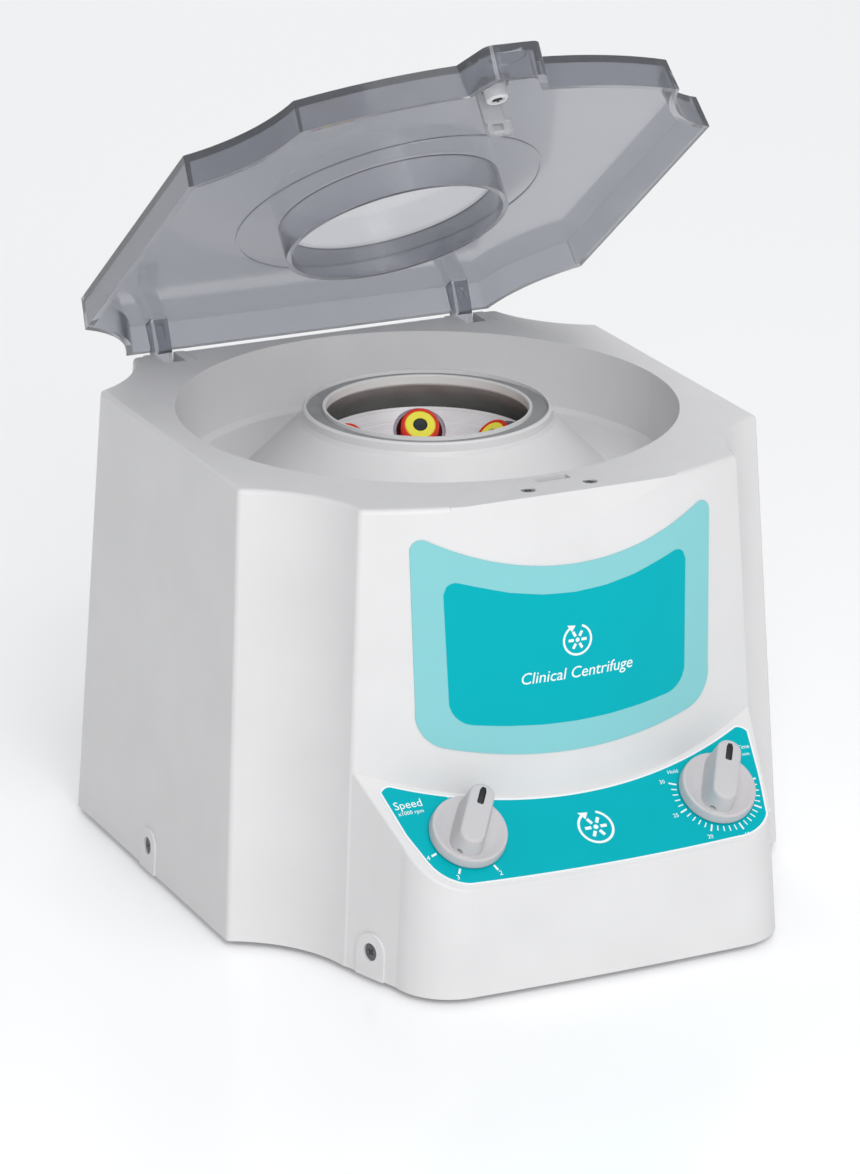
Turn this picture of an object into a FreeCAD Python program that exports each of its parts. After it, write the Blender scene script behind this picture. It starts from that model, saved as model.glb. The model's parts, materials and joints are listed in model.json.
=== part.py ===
import FreeCAD, Part
import math
import os
import Sketcher
from FreeCAD import Placement, Rotation, Vector

# Bench-top clinical centrifuge with an open, transparent lid.
# Frame: +Z up, +Y to the rear, +X to the right of a person who faces the control panel.
# The origin is on the rotor's axis, at the level of the bench that the feet stand on.
# The lid stands open. Its parts are drawn closed and turned back about the hinge axis.

doc = FreeCAD.newDocument("centrifuge")

X_AXIS = Vector(1, 0, 0)
Y_AXIS = Vector(0, 1, 0)
Z_AXIS = Vector(0, 0, 1)

# ---------------------------------------------------------------- driving dimensions, mm
DIMENSIONS = {
    # casing, at its top plane
    "casing_top": 206, "casing_foot": 3, "wall": 3,
    "corner_round": 3, "top_round": 2.2, "panel_round": 1.4,
    "half_width": 125.8, "side_front": 77.1, "side_rear": 79.8,
    "front_corner_x": 90.4, "front_corner_y": 123.9, "front_bulge": 19.6,
    "rear_corner_x": 93, "rear_corner_y": 121, "corner_arc": 62,
    # how far the foot of the casing stands outside its top plane
    "side_draft": 11.3, "end_draft": 9.6, "bulge_growth": 3.4,
    # console, at the foot of the casing
    "console_side_y": 162.5, "console_side_x": 91.2, "console_front_x": 66,
    "console_front_y": 186.2, "console_corner_arc": 25.7, "console_bulge": 1.2,
    "console_height": 95, "console_draft": 5.2,
    # control panel: a sloping plane on the console
    "panel_y": -184.6, "panel_z": 50.3, "panel_slope": 36.5, "panel_film": 0.6,
    "speed_u": -58, "timer_u": 62.2, "dial_v": 27.8,
    "speed_pointer": -33, "timer_pointer": -28,
    # finger scoop under the lid's nose
    "scoop_top_y": 138.1, "scoop_low_y": 144.9, "scoop_low_z": 194.3,
    # round recess in the top, its cone and its collar
    "rim_r": 113, "floor_r": 111.6, "floor_z": 173, "cone_foot_r": 83.5,
    "cone_top_r": 57.3, "cone_top_z": 199.3, "collar_r": 55.2, "collar_z": 205.2,
    "seal_outer_r": 54.4, "seal_inner_r": 47.1, "seal_top": 203.6, "seal_foot": 202,
    "mouth_r": 45.6, "mouth_z": 201.2,
    # lid
    "hinge_y": 121.8, "hinge_z": 194.2, "lid_open": 38.1, "lid_gap": 0.5, "lid_top": 221.6,
    "lid_taper": 1.7, "lid_wall": 3, "lid_ring_r": 51.6, "lid_ring_wall": 2.4,
    "lid_ring_foot": 204, "arm_left_x": -77.5, "arm_right_x": 76.5, "knuckle_r": 4.6,
    "pin_r": 2, "bracket_half": 10, "arm_half": 4.2, "slot_half": 5,
    "nose_y": 157.6, "nose_half": 13, "nose_root": 20,
    # latch
    "latch_x": 2.6, "hook_y": -118.6, "hook_half": 5.1, "hook_foot": 197.2, "hook_wall": 2,
    # chamber and drive
    "bowl_r": 115, "bowl_wall": 1.5, "bowl_foot": 100, "bowl_top": 168.5,
    "tilt": 45, "cap_ring_r": 35, "cap_z": 185, "first_tube": 20.2, "tube_count": 6,
    "dish_depth": 7, "rotor_rim": 12.8, "rotor_wall": 2, "dish_wall": 3, "skirt_run": 82,
    "sleeve_r": 10.4, "sleeve_bore": 9, "sleeve_length": 88, "flange_r": 12,
    "tube_r": 6.5, "tube_wall": 1, "tube_end": 83, "cap_r": 8.75, "cap_length": 19,
    "hub_r": 17, "hub_top": 152, "hub_foot": 120, "shaft_r": 5, "stud_r": 4,
    "motor_r": 41, "motor_foot": 14, "motor_top": 90, "can_wall": 3,
    "armature_r": 26, "stator_bore": 26.6, "plate_r": 70, "plate_thickness": 3,
    "upper_bearing_r": 13, "lower_bearing_r": 11, "running_fit": 0.03,
    "post_r": 5, "post_ring": 100, "mount_r": 8, "mount_ring": 56,
    # base
    "base_z": 5, "base_thickness": 2, "foot_r": 10, "flange_height": 19,
    # knobs, measured from the panel plane
    "skirt_r": 17.15, "skirt_foot": 1, "skirt_top": 6.2, "dish_floor": 4.8, "bar_half": 6.4,
    "bar_top": 17.8, "bar_nose": 16.8, "bar_tail": 16, "bar_taper": 3, "pointer_half": 1.5,
    "spindle_r": 3, "bushing_r": 4.5,
    # rear connector pad
    "pad_y": 131.6, "inlet_x": -62, "inlet_z": 44, "fuse_x": -20,
}

sheet = doc.addObject("Spreadsheet::Sheet", "Dims")
for row, (alias, number) in enumerate(DIMENSIONS.items(), 1):
    sheet.set(f"A{row}", alias)
    sheet.set(f"B{row}", str(number))
    sheet.setAlias(f"B{row}", alias)
doc.recompute()


class Size:
    """A length or ratio: its value now, and the spreadsheet expression that drives it."""

    def __init__(self, value, text=None):
        self.value = float(value)
        self.text = text or repr(float(value))

    def _join(self, other, sign, value):
        return Size(value, f"({self.text} {sign} {other.text})")

    def __add__(self, other):
        other = size(other)
        return self._join(other, "+", self.value + other.value)

    def __sub__(self, other):
        other = size(other)
        return self._join(other, "-", self.value - other.value)

    def __mul__(self, other):
        other = size(other)
        return self._join(other, "*", self.value * other.value)

    def __truediv__(self, other):
        other = size(other)
        return self._join(other, "/", self.value / other.value)

    def __radd__(self, other):
        return size(other) + self

    def __rsub__(self, other):
        return size(other) - self

    def __rmul__(self, other):
        return size(other) * self

    def __neg__(self):
        return Size(-self.value, f"(0 - {self.text})")


def size(number):
    return number if isinstance(number, Size) else Size(number)


def sine(angle):
    return Size(math.sin(math.radians(angle.value)), f"sin({angle.text} * 1 deg)")


def cosine(angle):
    return Size(math.cos(math.radians(angle.value)), f"cos({angle.text} * 1 deg)")


class Dimensions:
    """d.name is the Size of the spreadsheet cell with that alias."""

    def __getattr__(self, alias):
        return Size(sheet.get(alias), f"Dims.{alias}")


d = Dimensions()


def bind(obj, prop, amount):
    obj.setExpression(prop, size(amount).text)


# ---------------------------------------------------------------- sketches
def arc_between(start, end, radius, left):
    """Arc from start to end that bulges to the left (or right) of the line between them."""
    chord = end - start
    middle = (start + end) * 0.5
    normal = Vector(-chord.y, chord.x, 0).normalize() * (1 if left else -1)
    drop = math.sqrt(max(radius ** 2 - (chord.Length / 2) ** 2, 0))
    crown = middle - normal * drop + normal * radius
    return Part.Arc(start, crown, end)


def draw(sketch, points, arcs=None):
    """Closed outline. points are (x, y) Sizes; arcs[i] = (radius, bulges_left) from point i."""
    arcs = arcs or {}
    corners = [(size(x), size(y)) for x, y in points]
    spots = [Vector(x.value, y.value, 0) for x, y in corners]
    count = len(spots)
    ends = []
    for i, start in enumerate(spots):
        end = spots[(i + 1) % count]
        if i in arcs:
            radius, left = arcs[i]
            radius = size(radius)
            index = sketch.addGeometry(arc_between(start, end, radius.value, left), False)
            first = sketch.getPoint(index, 1)
            forward = (first - start).Length < (first - end).Length
            ends.append((index, 1, 2) if forward else (index, 2, 1))
            rule = sketch.addConstraint(Sketcher.Constraint("Radius", index, radius.value))
            sketch.setExpression(f"Constraints[{rule}]", radius.text)
        else:
            index = sketch.addGeometry(Part.LineSegment(start, end), False)
            ends.append((index, 1, 2))
    for i in range(count):
        before = ends[i - 1]
        sketch.addConstraint(
            Sketcher.Constraint("Coincident", before[0], before[2], ends[i][0], ends[i][1]))
    for (index, first, _), (x, y) in zip(ends, corners):
        for kind, amount in (("DistanceX", x), ("DistanceY", y)):
            rule = sketch.addConstraint(
                Sketcher.Constraint(kind, -1, 1, index, first, amount.value))
            sketch.setExpression(f"Constraints[{rule}]", amount.text)


def draw_circle(sketch, x, y, radius):
    x, y, radius = size(x), size(y), size(radius)
    circle = Part.Circle(Vector(x.value, y.value, 0), Z_AXIS, radius.value)
    index = sketch.addGeometry(circle, False)
    rule = sketch.addConstraint(Sketcher.Constraint("Radius", index, radius.value))
    sketch.setExpression(f"Constraints[{rule}]", radius.text)
    for kind, amount in (("DistanceX", x), ("DistanceY", y)):
        rule = sketch.addConstraint(Sketcher.Constraint(kind, -1, 1, index, 3, amount.value))
        sketch.setExpression(f"Constraints[{rule}]", amount.text)


def rectangle(x_low, x_high, y_low, y_high):
    return [(x_low, y_low), (x_high, y_low), (x_high, y_high), (x_low, y_high)]


# ---------------------------------------------------------------- bodies
SUBPARTS = []


def place(obj, placement):
    if placement is not None:
        obj.Placement = placement


def keep(obj, label, placement=None):
    """Name a finished sub-part and put it on the list of files to write."""
    obj.Label = label
    place(obj, placement)
    SUBPARTS.append(obj)
    return obj


def new_body(name):
    return doc.addObject("PartDesign::Body", name)


def body_sketch(body, role, level=0):
    plane = next(f for f in body.Origin.OriginFeatures if f.Role == role)
    sketch = body.newObject("Sketcher::SketchObject", f"{body.Name}_sketch")
    sketch.AttachmentSupport = (plane, [""])
    sketch.MapMode = "FlatFace"
    bind(sketch, "AttachmentOffset.Base.z", level)
    return sketch


def pad(body, sketch, length):
    feature = body.newObject("PartDesign::Pad", f"{body.Name}_pad")
    feature.Profile = sketch
    bind(feature, "Length", length)
    return feature


def pocket(body, sketch, length):
    """Cuts from the sketch plane the way that its normal points."""
    feature = body.newObject("PartDesign::Pocket", f"{body.Name}_pocket")
    feature.Profile = sketch
    feature.Reversed = True
    bind(feature, "Length", length)
    return feature


def add_turned(body, profile):
    sketch = body_sketch(body, "XZ_Plane")
    draw(sketch, profile)
    feature = body.newObject("PartDesign::Revolution", f"{body.Name}_turned")
    feature.Profile = sketch
    feature.ReferenceAxis = (sketch, ["V_Axis"])
    feature.Angle = 360
    return feature


def turned(name, profile, placement=None):
    """A body of revolution about its own Z axis, from an (r, z) profile."""
    body = new_body(name)
    add_turned(body, profile)
    return keep(body, name, placement)


def tube_profile(inner, outer, low, high):
    return [(inner, low), (outer, low), (outer, high), (inner, high)]


def plain_sketch(name, level, across=None):
    """A free sketch for a loft or an extrusion: level with the bench, or across the X axis."""
    sketch = doc.addObject("Sketcher::SketchObject", name)
    if across is None:
        bind(sketch, "Placement.Base.z", level)
    else:
        sketch.Placement = Placement(Vector(0, 0, 0), Rotation(Vector(1, 1, 1), 120))
        bind(sketch, "Placement.Base.x", across)
    return sketch


def loft(name, sketches):
    obj = doc.addObject("Part::Loft", name)
    obj.Sections = sketches
    obj.Solid = True
    obj.Ruled = True
    return obj


def prism(name, sketch, length):
    obj = doc.addObject("Part::Extrusion", name)
    obj.Base = sketch
    obj.DirMode = "Normal"
    obj.Solid = True
    bind(obj, "LengthFwd", length)
    return obj


def cut(name, base, tool):
    obj = doc.addObject("Part::Cut", name)
    obj.Base, obj.Tool = base, tool
    return obj


def joined(name, shapes):
    obj = doc.addObject("Part::MultiFuse", name)
    obj.Shapes = shapes
    obj.Refine = True
    return obj


def shared(name, shapes):
    obj = doc.addObject("Part::MultiCommon", name)
    obj.Shapes = shapes
    return obj


def rounded(name, base, radius, chosen):
    """Fillet on the base's edges for which chosen(edge) holds."""
    doc.recompute()
    numbers = [i for i, edge in enumerate(base.Shape.Edges, 1) if chosen(edge)]
    obj = doc.addObject("Part::Fillet", name)
    obj.Base = base
    obj.Edges = [(i, radius.value, radius.value) for i in numbers]
    return obj


def ends_above(level):
    return lambda edge: min(v.Point.z for v in edge.Vertexes) > level


def climbs(edge):
    heights = [v.Point.z for v in edge.Vertexes]
    return max(heights) - min(heights) > 100


def on_panel(edge):
    """Does the edge lie in the panel plane, in front of the casing's own wall?"""
    tilt = math.radians(d.panel_slope.value)
    out = Vector(0, -math.sin(tilt), math.cos(tilt))
    origin = Vector(0, d.panel_y.value, d.panel_z.value)
    spots = [edge.valueAt(t) for t in (edge.FirstParameter, edge.LastParameter)]
    spots.append(edge.valueAt((edge.FirstParameter + edge.LastParameter) / 2))
    return all(abs((s - origin).dot(out)) < 0.05 for s in spots) and min(s.y for s in spots) < -122


def cylinder(name, radius, length, placement):
    obj = doc.addObject("Part::Cylinder", name)
    bind(obj, "Radius", radius)
    bind(obj, "Height", length)
    obj.Placement = placement
    return obj


def block(name, low, high):
    """A box between two corners given as Sizes."""
    obj = doc.addObject("Part::Box", name)
    for prop, a, b in zip(("Length", "Width", "Height"), low, high):
        bind(obj, prop, size(b) - a)
    for axis, a in zip("xyz", low):
        bind(obj, f"Placement.Base.{axis}", a)
    return obj


def ring_object(name, profile):
    """A turned solid outside any body, from an (r, z) profile."""
    sketch = doc.addObject("Sketcher::SketchObject", f"{name}_profile")
    sketch.Placement = Placement(Vector(0, 0, 0), Rotation(X_AXIS, 90))
    draw(sketch, profile)
    obj = doc.addObject("Part::Revolution", name)
    obj.Source = sketch
    obj.Axis = Z_AXIS
    obj.Angle = 360
    obj.Solid = True
    return obj


def group(label, members):
    """Identical small pieces that share a file."""
    obj = doc.addObject("Part::Compound", label)
    obj.Links = members
    return keep(obj, label)


def point(x, y, z):
    return Vector(size(x).value, size(y).value, size(z).value)


def shifted(x, y, z):
    return Placement(point(x, y, z), Rotation())


def along(position, direction):
    """Placement at a point whose Z axis points along direction."""
    return Placement(point(*position), Rotation(Z_AXIS, Vector(*direction)))


# ---------------------------------------------------------------- casing outline
def casing_outline(inset=0, spread=0, bulge=None):
    """Plan outline of the casing: inset for the wall, spread 1 at its foot and 0 at its top."""
    side, end = d.side_draft * spread, d.end_draft * spread
    half = d.half_width + side - inset
    front_side = d.side_front + end - size(inset) * 0.55
    rear_side = d.side_rear + end - size(inset) * 0.55
    corner_x = d.front_corner_x + side - size(inset) * 0.86
    corner_y = d.front_corner_y + end - size(inset) * 0.71
    rear_x = d.rear_corner_x + side - size(inset) * 0.75
    rear_y = d.rear_corner_y + end - inset
    bulge = d.front_bulge + d.bulge_growth * spread if bulge is None else bulge
    front_arc = corner_x * corner_x / (2 * bulge) + bulge / 2
    hollow = d.corner_arc + inset
    points = [(half, -front_side), (half, rear_side), (rear_x, rear_y), (-rear_x, rear_y),
              (-half, rear_side), (-half, -front_side), (-corner_x, -corner_y),
              (corner_x, -corner_y)]
    arcs = {1: (hollow, True), 3: (hollow, True), 5: (hollow, True), 6: (front_arc, False),
            7: (hollow, True)}
    return points, arcs


def casing_loft(name, inset, low, high):
    """The drafted body between two heights."""
    height = d.casing_top - d.casing_foot
    sections = []
    for tag, level in (("low", low), ("high", high)):
        sketch = plain_sketch(f"{name}_{tag}", level)
        spread = (d.casing_top - level) / height
        draw(sketch, *casing_outline(inset, spread))
        sections.append(sketch)
    return loft(name, sections)


def console_outline(inset, spread):
    """Plan outline of the console, whose rear lies inside the casing's front."""
    shrink = d.console_draft * (1 - size(spread)) + inset
    height_share = d.console_height / (d.casing_top - d.casing_foot)
    root = 1 - height_share * (1 - size(spread))
    root_x = d.front_corner_x + d.side_draft * root - 0.5 - inset
    root_y = d.front_corner_y + d.end_draft * root
    side_x, side_y = d.console_side_x - shrink, d.console_side_y - shrink * 0.45
    front_x, front_y = d.console_front_x - shrink * 0.45, d.console_front_y - shrink
    front_arc = front_x * front_x / (2 * d.console_bulge) + d.console_bulge / 2
    corner_arc = d.console_corner_arc
    back = 108
    points = [(root_x, -root_y), (root_x - 16, -back), (-root_x + 16, -back),
              (-root_x, -root_y), (-side_x, -side_y), (-front_x, -front_y),
              (front_x, -front_y), (side_x, -side_y)]
    arcs = {4: (corner_arc, False), 5: (front_arc, False), 6: (corner_arc, False)}
    return points, arcs


def console_loft(name, inset, low):
    sections = []
    for tag, level, spread in (("low", low, 1), ("high", d.casing_foot + d.console_height, 0)):
        sketch = plain_sketch(f"{name}_{tag}", level)
        draw(sketch, *console_outline(inset, spread))
        sections.append(sketch)
    return loft(name, sections)


def slope_wedge(name, sink):
    """Everything above the panel plane, sunk by so much below it."""
    run, rise = cosine(d.panel_slope), sine(d.panel_slope)
    base_y, base_z = d.panel_y + rise * sink, d.panel_z - run * sink
    sketch = plain_sketch(f"{name}_side", 0, across=-150)
    draw(sketch, [(base_y - run * 40, base_z - rise * 40), (base_y + run * 120, base_z + rise * 120),
                  (base_y + run * 120, base_z + rise * 120 + 60), (base_y - run * 40, 260)])
    return prism(name, sketch, 300)


# ---------------------------------------------------------------- casing
SIDE_LEAN = math.degrees(math.atan(11.3 / 203))
SCREW_SPOTS = [
    # a point on the wall at screw height, and the way the wall faces in plan, in degrees from +X
    (-136.4, 3.0, 180), (136.4, 3.0, 0),
    (-95.7, -147.6, 199), (95.7, -147.6, -19),
    (-60.0, 130.1, 90), (60.0, 130.1, 90),
]
SCREW_Z = 14.5


def wall_frame(spot, back=0.0, level=SCREW_Z):
    """Placement at a screw spot: its Z axis points straight out of the leaning wall."""
    x, y, heading = spot
    flat = Vector(math.cos(math.radians(heading)), math.sin(math.radians(heading)), 0)
    lean = math.radians(SIDE_LEAN)
    out = flat * math.cos(lean) + Z_AXIS * math.sin(lean)
    side = Z_AXIS.cross(flat)
    turn = Rotation(side, out.cross(side), out, "ZXY")
    return Placement(Vector(x, y, level) - out * back, turn)


def screw_tab(index, spot):
    """Thumb-shaped raised tab around a casing screw, reaching the casing's foot."""
    inner = d.wall * 0.5
    round_top = cylinder(f"tab_round_{index}", 8.4, inner + 1, wall_frame(spot, 1.5))
    stem = doc.addObject("Part::Box", f"tab_stem_{index}")
    bind(stem, "Length", 16.8)
    bind(stem, "Width", 16)
    bind(stem, "Height", inner + 1)
    frame = wall_frame(spot, 1.5)
    stem.Placement = frame.multiply(shifted(-8.4, -16, 0))
    return [round_top, stem]


def make_casing():
    corners = rounded("casing_corners", casing_loft("casing_outside", 0, d.casing_foot, d.casing_top),
                      d.corner_round, climbs)
    outside = rounded("casing_rounded", corners, d.top_round,
                      ends_above(d.casing_top.value - 0.1))
    inside = casing_loft("casing_inside", d.wall, d.casing_foot - 1, d.casing_top - d.wall)
    block_cut = cut("console_block", console_loft("console_outside", 0, d.casing_foot),
                    slope_wedge("slope_outside", 0))
    console = rounded("console_rounded", block_cut, d.panel_round, on_panel)
    hollow = cut("console_hollow", console_loft("console_inside", d.wall, d.casing_foot - 1),
                 slope_wedge("slope_inside", d.wall))
    back_of_scoop = plain_sketch("scoop_back_side", 0, across=-54)
    top = d.casing_top
    draw(back_of_scoop, [(-150, top), (-d.scoop_top_y + 3.4, top), (-d.scoop_top_y + 3.4, top - 3.2),
                         (-d.scoop_low_y + 3.4, d.scoop_low_z - 3.2), (-150, d.scoop_low_z - 3.2)])
    scoop_back = shared("scoop_backing", [casing_loft("scoop_skin", 0, d.scoop_low_z - 10, top),
                                          prism("scoop_block", back_of_scoop, 108)])
    pad_block = block("connector_pad", (d.inlet_x - 30, 124, 20), (d.fuse_x + 14, d.pad_y, 66))
    shell = cut("casing_walls", joined("casing_solid", [outside, console, pad_block]),
                joined("casing_space", [inside, hollow]))
    well = ring_object("well_opening", [(0, 160), (115, 160), (115, 230), (0, 230)])
    run = d.cone_top_r + d.cone_top_z
    well_wall = ring_object("well_wall", [
        (d.rim_r, top), (d.floor_r, d.floor_z + 2.4), (d.floor_r - 2.4, d.floor_z),
        (d.cone_foot_r, d.floor_z), (d.cone_top_r, d.cone_top_z),
        (d.cone_top_r - 1, d.cone_top_z + 1.9), (d.collar_r + 0.8, d.collar_z - 0.8),
        (d.collar_r, d.collar_z), (d.seal_outer_r, d.collar_z), (d.seal_outer_r, d.seal_foot),
        (d.seal_inner_r, d.seal_foot), (d.seal_inner_r, d.collar_z),
        (d.mouth_r + 0.4, d.collar_z), (d.mouth_r, d.collar_z - 0.4), (d.mouth_r, d.mouth_z),
        (d.mouth_r + 1.2, d.mouth_z - 1.2), (run - 1.414 * d.wall - 200, 200),
        (run - 1.414 * d.wall - (d.floor_z - d.wall), d.floor_z - d.wall),
        (113.5, d.floor_z - d.wall), (115, d.floor_z - 1.5), (116, d.floor_z + 3), (116, top)])
    scoop_side = plain_sketch("scoop_side", 0, across=-70)
    lean = (d.scoop_low_y - d.scoop_top_y) / (d.casing_top - d.scoop_low_z)
    draw(scoop_side, [(-d.scoop_top_y + lean * 6, top + 6), (-d.scoop_low_y - lean * 12,
                      d.scoop_low_z - 12), (-d.scoop_low_y - 30, d.scoop_low_z - 12),
                      (-d.scoop_low_y - 30, top + 6)])
    openings = [prism("scoop_cut", scoop_side, 140),
                block("hook_slot", (d.latch_x - 8, -121.5, 196), (d.latch_x + 8, -115.8, top + 4))]
    for side, x in (("left", d.arm_left_x), ("right", d.arm_right_x)):
        openings.append(block(f"hinge_notch_{side}", (x - d.bracket_half, 105, 183),
                              (x + d.bracket_half, 135, top + 4)))
    for x, y in LATCH_SCREWS:
        openings.append(cylinder(f"latch_screw_hole_{len(openings)}", 1.8, 8,
                                 shifted(x, y, 201)))
        openings.append(cylinder(f"latch_screw_sink_{len(openings)}", 3.3, 4,
                                 shifted(x, y, 204)))
    for u in (d.speed_u, d.timer_u):
        openings.append(cylinder(f"bushing_hole_{len(openings)}", d.bushing_r + 0.1, 12,
                                 panel_frame(u, d.dial_v, -6)))
    openings.append(block("inlet_cutout", (d.inlet_x - 13.8, 120, d.inlet_z - 10.2),
                          (d.inlet_x + 13.8, 140, d.inlet_z + 10.2)))
    openings.append(cylinder("fuse_cutout", 6.6, 30, along((d.fuse_x, 110, 44), (0, 1, 0))))
    for i in range(9):
        x = 14 + i * 9
        openings.append(block(f"vent_{i}", (x, 115, 34), (x + 4, 140, 78)))
    tabs = []
    for index, spot in enumerate(SCREW_SPOTS):
        tabs += screw_tab(index, spot)
        openings.append(cylinder(f"casing_screw_hole_{index}", 2.1, 14, wall_frame(spot, 9)))
        openings.append(cylinder(f"casing_screw_sink_{index}", 4, 6, wall_frame(spot, 1.0)))
    below = block("below_foot", (-200, -250, -30), (200, 200, d.casing_foot))
    body = joined("casing_body", [cut("casing_open", joined("casing_backed", [shell, scoop_back]),
                                      well), well_wall] + tabs)
    keep(cut("casing_shell", body, joined("casing_openings", openings + [below])), "casing_shell")


LATCH_SCREWS = [(-13.7, -128.8), (15.8, -129.0)]


def panel_frame(u, v, lift=0.0, turn=0.0):
    """Placement on the panel: X along it to the right, Y up the slope, Z out of it."""
    tip = Rotation(X_AXIS, d.panel_slope.value)
    base = Vector(0, d.panel_y.value, d.panel_z.value)
    spot = tip.multVec(Vector(size(u).value, size(v).value, size(lift).value))
    return Placement(base + spot, tip.multiply(Rotation(Z_AXIS, turn)))


# ---------------------------------------------------------------- base, feet, casing screws
FOOT_SPOTS = [(-72, -152), (72, -152), (-108, 72), (108, 72)]


def make_base():
    body = new_body("base_plate")
    sketch = body_sketch(body, "XY_Plane", d.base_z)
    inset = 4.6
    points, arcs = casing_outline(inset, 1)
    console, console_arcs = console_outline(inset, 1)
    outline = points[:7] + console[4:8] + points[7:]
    outline_arcs = {1: arcs[1], 3: arcs[3], 5: arcs[5], 7: console_arcs[4], 8: console_arcs[5],
                    9: console_arcs[6], 11: arcs[7]}
    draw(sketch, outline, outline_arcs)
    pad(body, sketch, d.base_thickness)
    flanges = body_sketch(body, "XY_Plane", d.base_z + 1)
    for x, y, heading in SCREW_SPOTS:
        flat = Rotation(Z_AXIS, heading)
        corners = [flat.multVec(Vector(a, b, 0)) + Vector(x, y, 0)
                   for a, b in ((-6.8, -8), (-4.8, -8), (-4.8, 8), (-6.8, 8))]
        draw(flanges, [(c.x, c.y) for c in corners])
    pad(body, flanges, d.flange_height)
    holes = body_sketch(body, "XY_Plane", d.base_z - 1)
    for x, y in FOOT_SPOTS:
        draw_circle(holes, x, y, 2.1)
    for i in range(4):
        angle = math.radians(45 + 90 * i)
        draw_circle(holes, d.post_ring * math.cos(angle), d.post_ring * math.sin(angle), 2.1)
    pocket(body, holes, 6)
    slots = body_sketch(body, "XY_Plane", d.base_z - 1)
    for i in range(7):
        x = -30 + 10 * i
        draw(slots, rectangle(x - 2, x + 2, -38, -8))
        draw(slots, rectangle(x - 2, x + 2, 8, 38))
    pocket(body, slots, 6)
    keep(body, "base_plate")


def make_feet():
    feet = []
    for i, (x, y) in enumerate(FOOT_SPOTS):
        foot = new_body(f"foot_{i}")
        top = d.base_z + d.base_thickness
        add_turned(foot, [(0, 0), (d.foot_r - 1, 0), (d.foot_r, 1), (d.foot_r - 0.8, d.base_z),
                          (2.1, d.base_z), (2.1, top), (3, top + 0.4), (1.2, top + 4), (0, top + 4)])
        place(foot, shifted(x, y, 0))
        feet.append(foot)
    group("rubber_feet", feet)


def make_casing_screws():
    screws = []
    for i, spot in enumerate(SCREW_SPOTS):
        screw = new_body(f"casing_screw_{i}")
        add_turned(screw, [(0, -8.6), (2, -8.6), (2, -1), (3.8, -1), (3.4, 0.2), (0, 0.5)])
        place(screw, wall_frame(spot))
        screws.append(screw)
    group("casing_screws", screws)


# ---------------------------------------------------------------- labels
def make_front_label():
    outline = doc.addObject("Sketcher::SketchObject", "front_label_outline")
    outline.Placement = Placement(Vector(0, -100, 0), Rotation(X_AXIS, 90))
    top, low = 192.4, 98.5
    points = [(-70.8, 118), (-58, low + 1.6), (58, low + 1.6), (70.2, 118), (72, 187),
              (65, 191.2), (-65, top), (-71.4, 188)]
    arcs = {0: (16, False), 1: (250, False), 2: (16, False), 4: (5, False), 5: (142, True),
            6: (5, False)}
    draw(outline, points, arcs)
    sheet_prism = prism("front_label_prism", outline, 80)
    skin = cut("front_label_skin", casing_loft("label_outer", -0.5, 60, 205),
               casing_loft("label_inner", 0, 58, 206))
    keep(shared("front_label", [skin, sheet_prism]), "front_label")


def make_panel_film():
    body = new_body("panel_film")
    sketch = body_sketch(body, "XY_Plane")
    points = [(-88.6, 55.5), (-85, 33), (-80, 17), (-65, 4.0), (64, 3.6), (81.6, 12), (86, 31),
              (90, 55), (84.5, 58.8), (-83, 58.4)]
    arcs = {2: (21, False), 3: (1200, False), 4: (21, False), 7: (5.5, False), 8: (192, True),
            9: (5.5, False)}
    draw(sketch, points, arcs)
    pad(body, sketch, d.panel_film)
    holes = body_sketch(body, "XY_Plane", -1)
    for u in (d.speed_u, d.timer_u):
        draw_circle(holes, u, d.dial_v, d.bushing_r + 0.3)
    pocket(body, holes, 4)
    keep(body, "panel_film", panel_frame(0, 0))


# ---------------------------------------------------------------- lid, drawn closed
def opened():
    """Placement that turns a closed lid part to the open lid's place."""
    turn = Rotation(X_AXIS, -d.lid_open.value)
    pivot = Vector(0, d.hinge_y.value, d.hinge_z.value)
    return Placement(pivot - turn.multVec(pivot), turn)


def lid_block(name, inset, low, high):
    """The lid's outline between two heights, with its nose at the front."""
    sections, noses = [], []
    for tag, level, shrink in (("low", low, 0), ("high", high, 1)):
        total = size(inset) + d.lid_taper * shrink
        sketch = plain_sketch(f"{name}_{tag}", level)
        draw(sketch, *casing_outline(total, 0))
        sections.append(sketch)
        nose = plain_sketch(f"{name}_nose_{tag}", level)
        reach = d.nose_y + 1.6 * shrink - inset
        half, root = d.nose_half - inset, d.nose_root - inset
        draw(nose, [(-root - 2, -134), (-root, -140.5), (-half - 1, -reach + 4), (-half + 4, -reach),
                    (half - 4, -reach), (half + 1, -reach + 4), (root, -140.5), (root + 2, -134)],
             {2: (5.4, False), 4: (5.4, False)})
        noses.append(nose)
    return joined(name, [loft(f"{name}_plan", sections), loft(f"{name}_nose", noses)])


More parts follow.
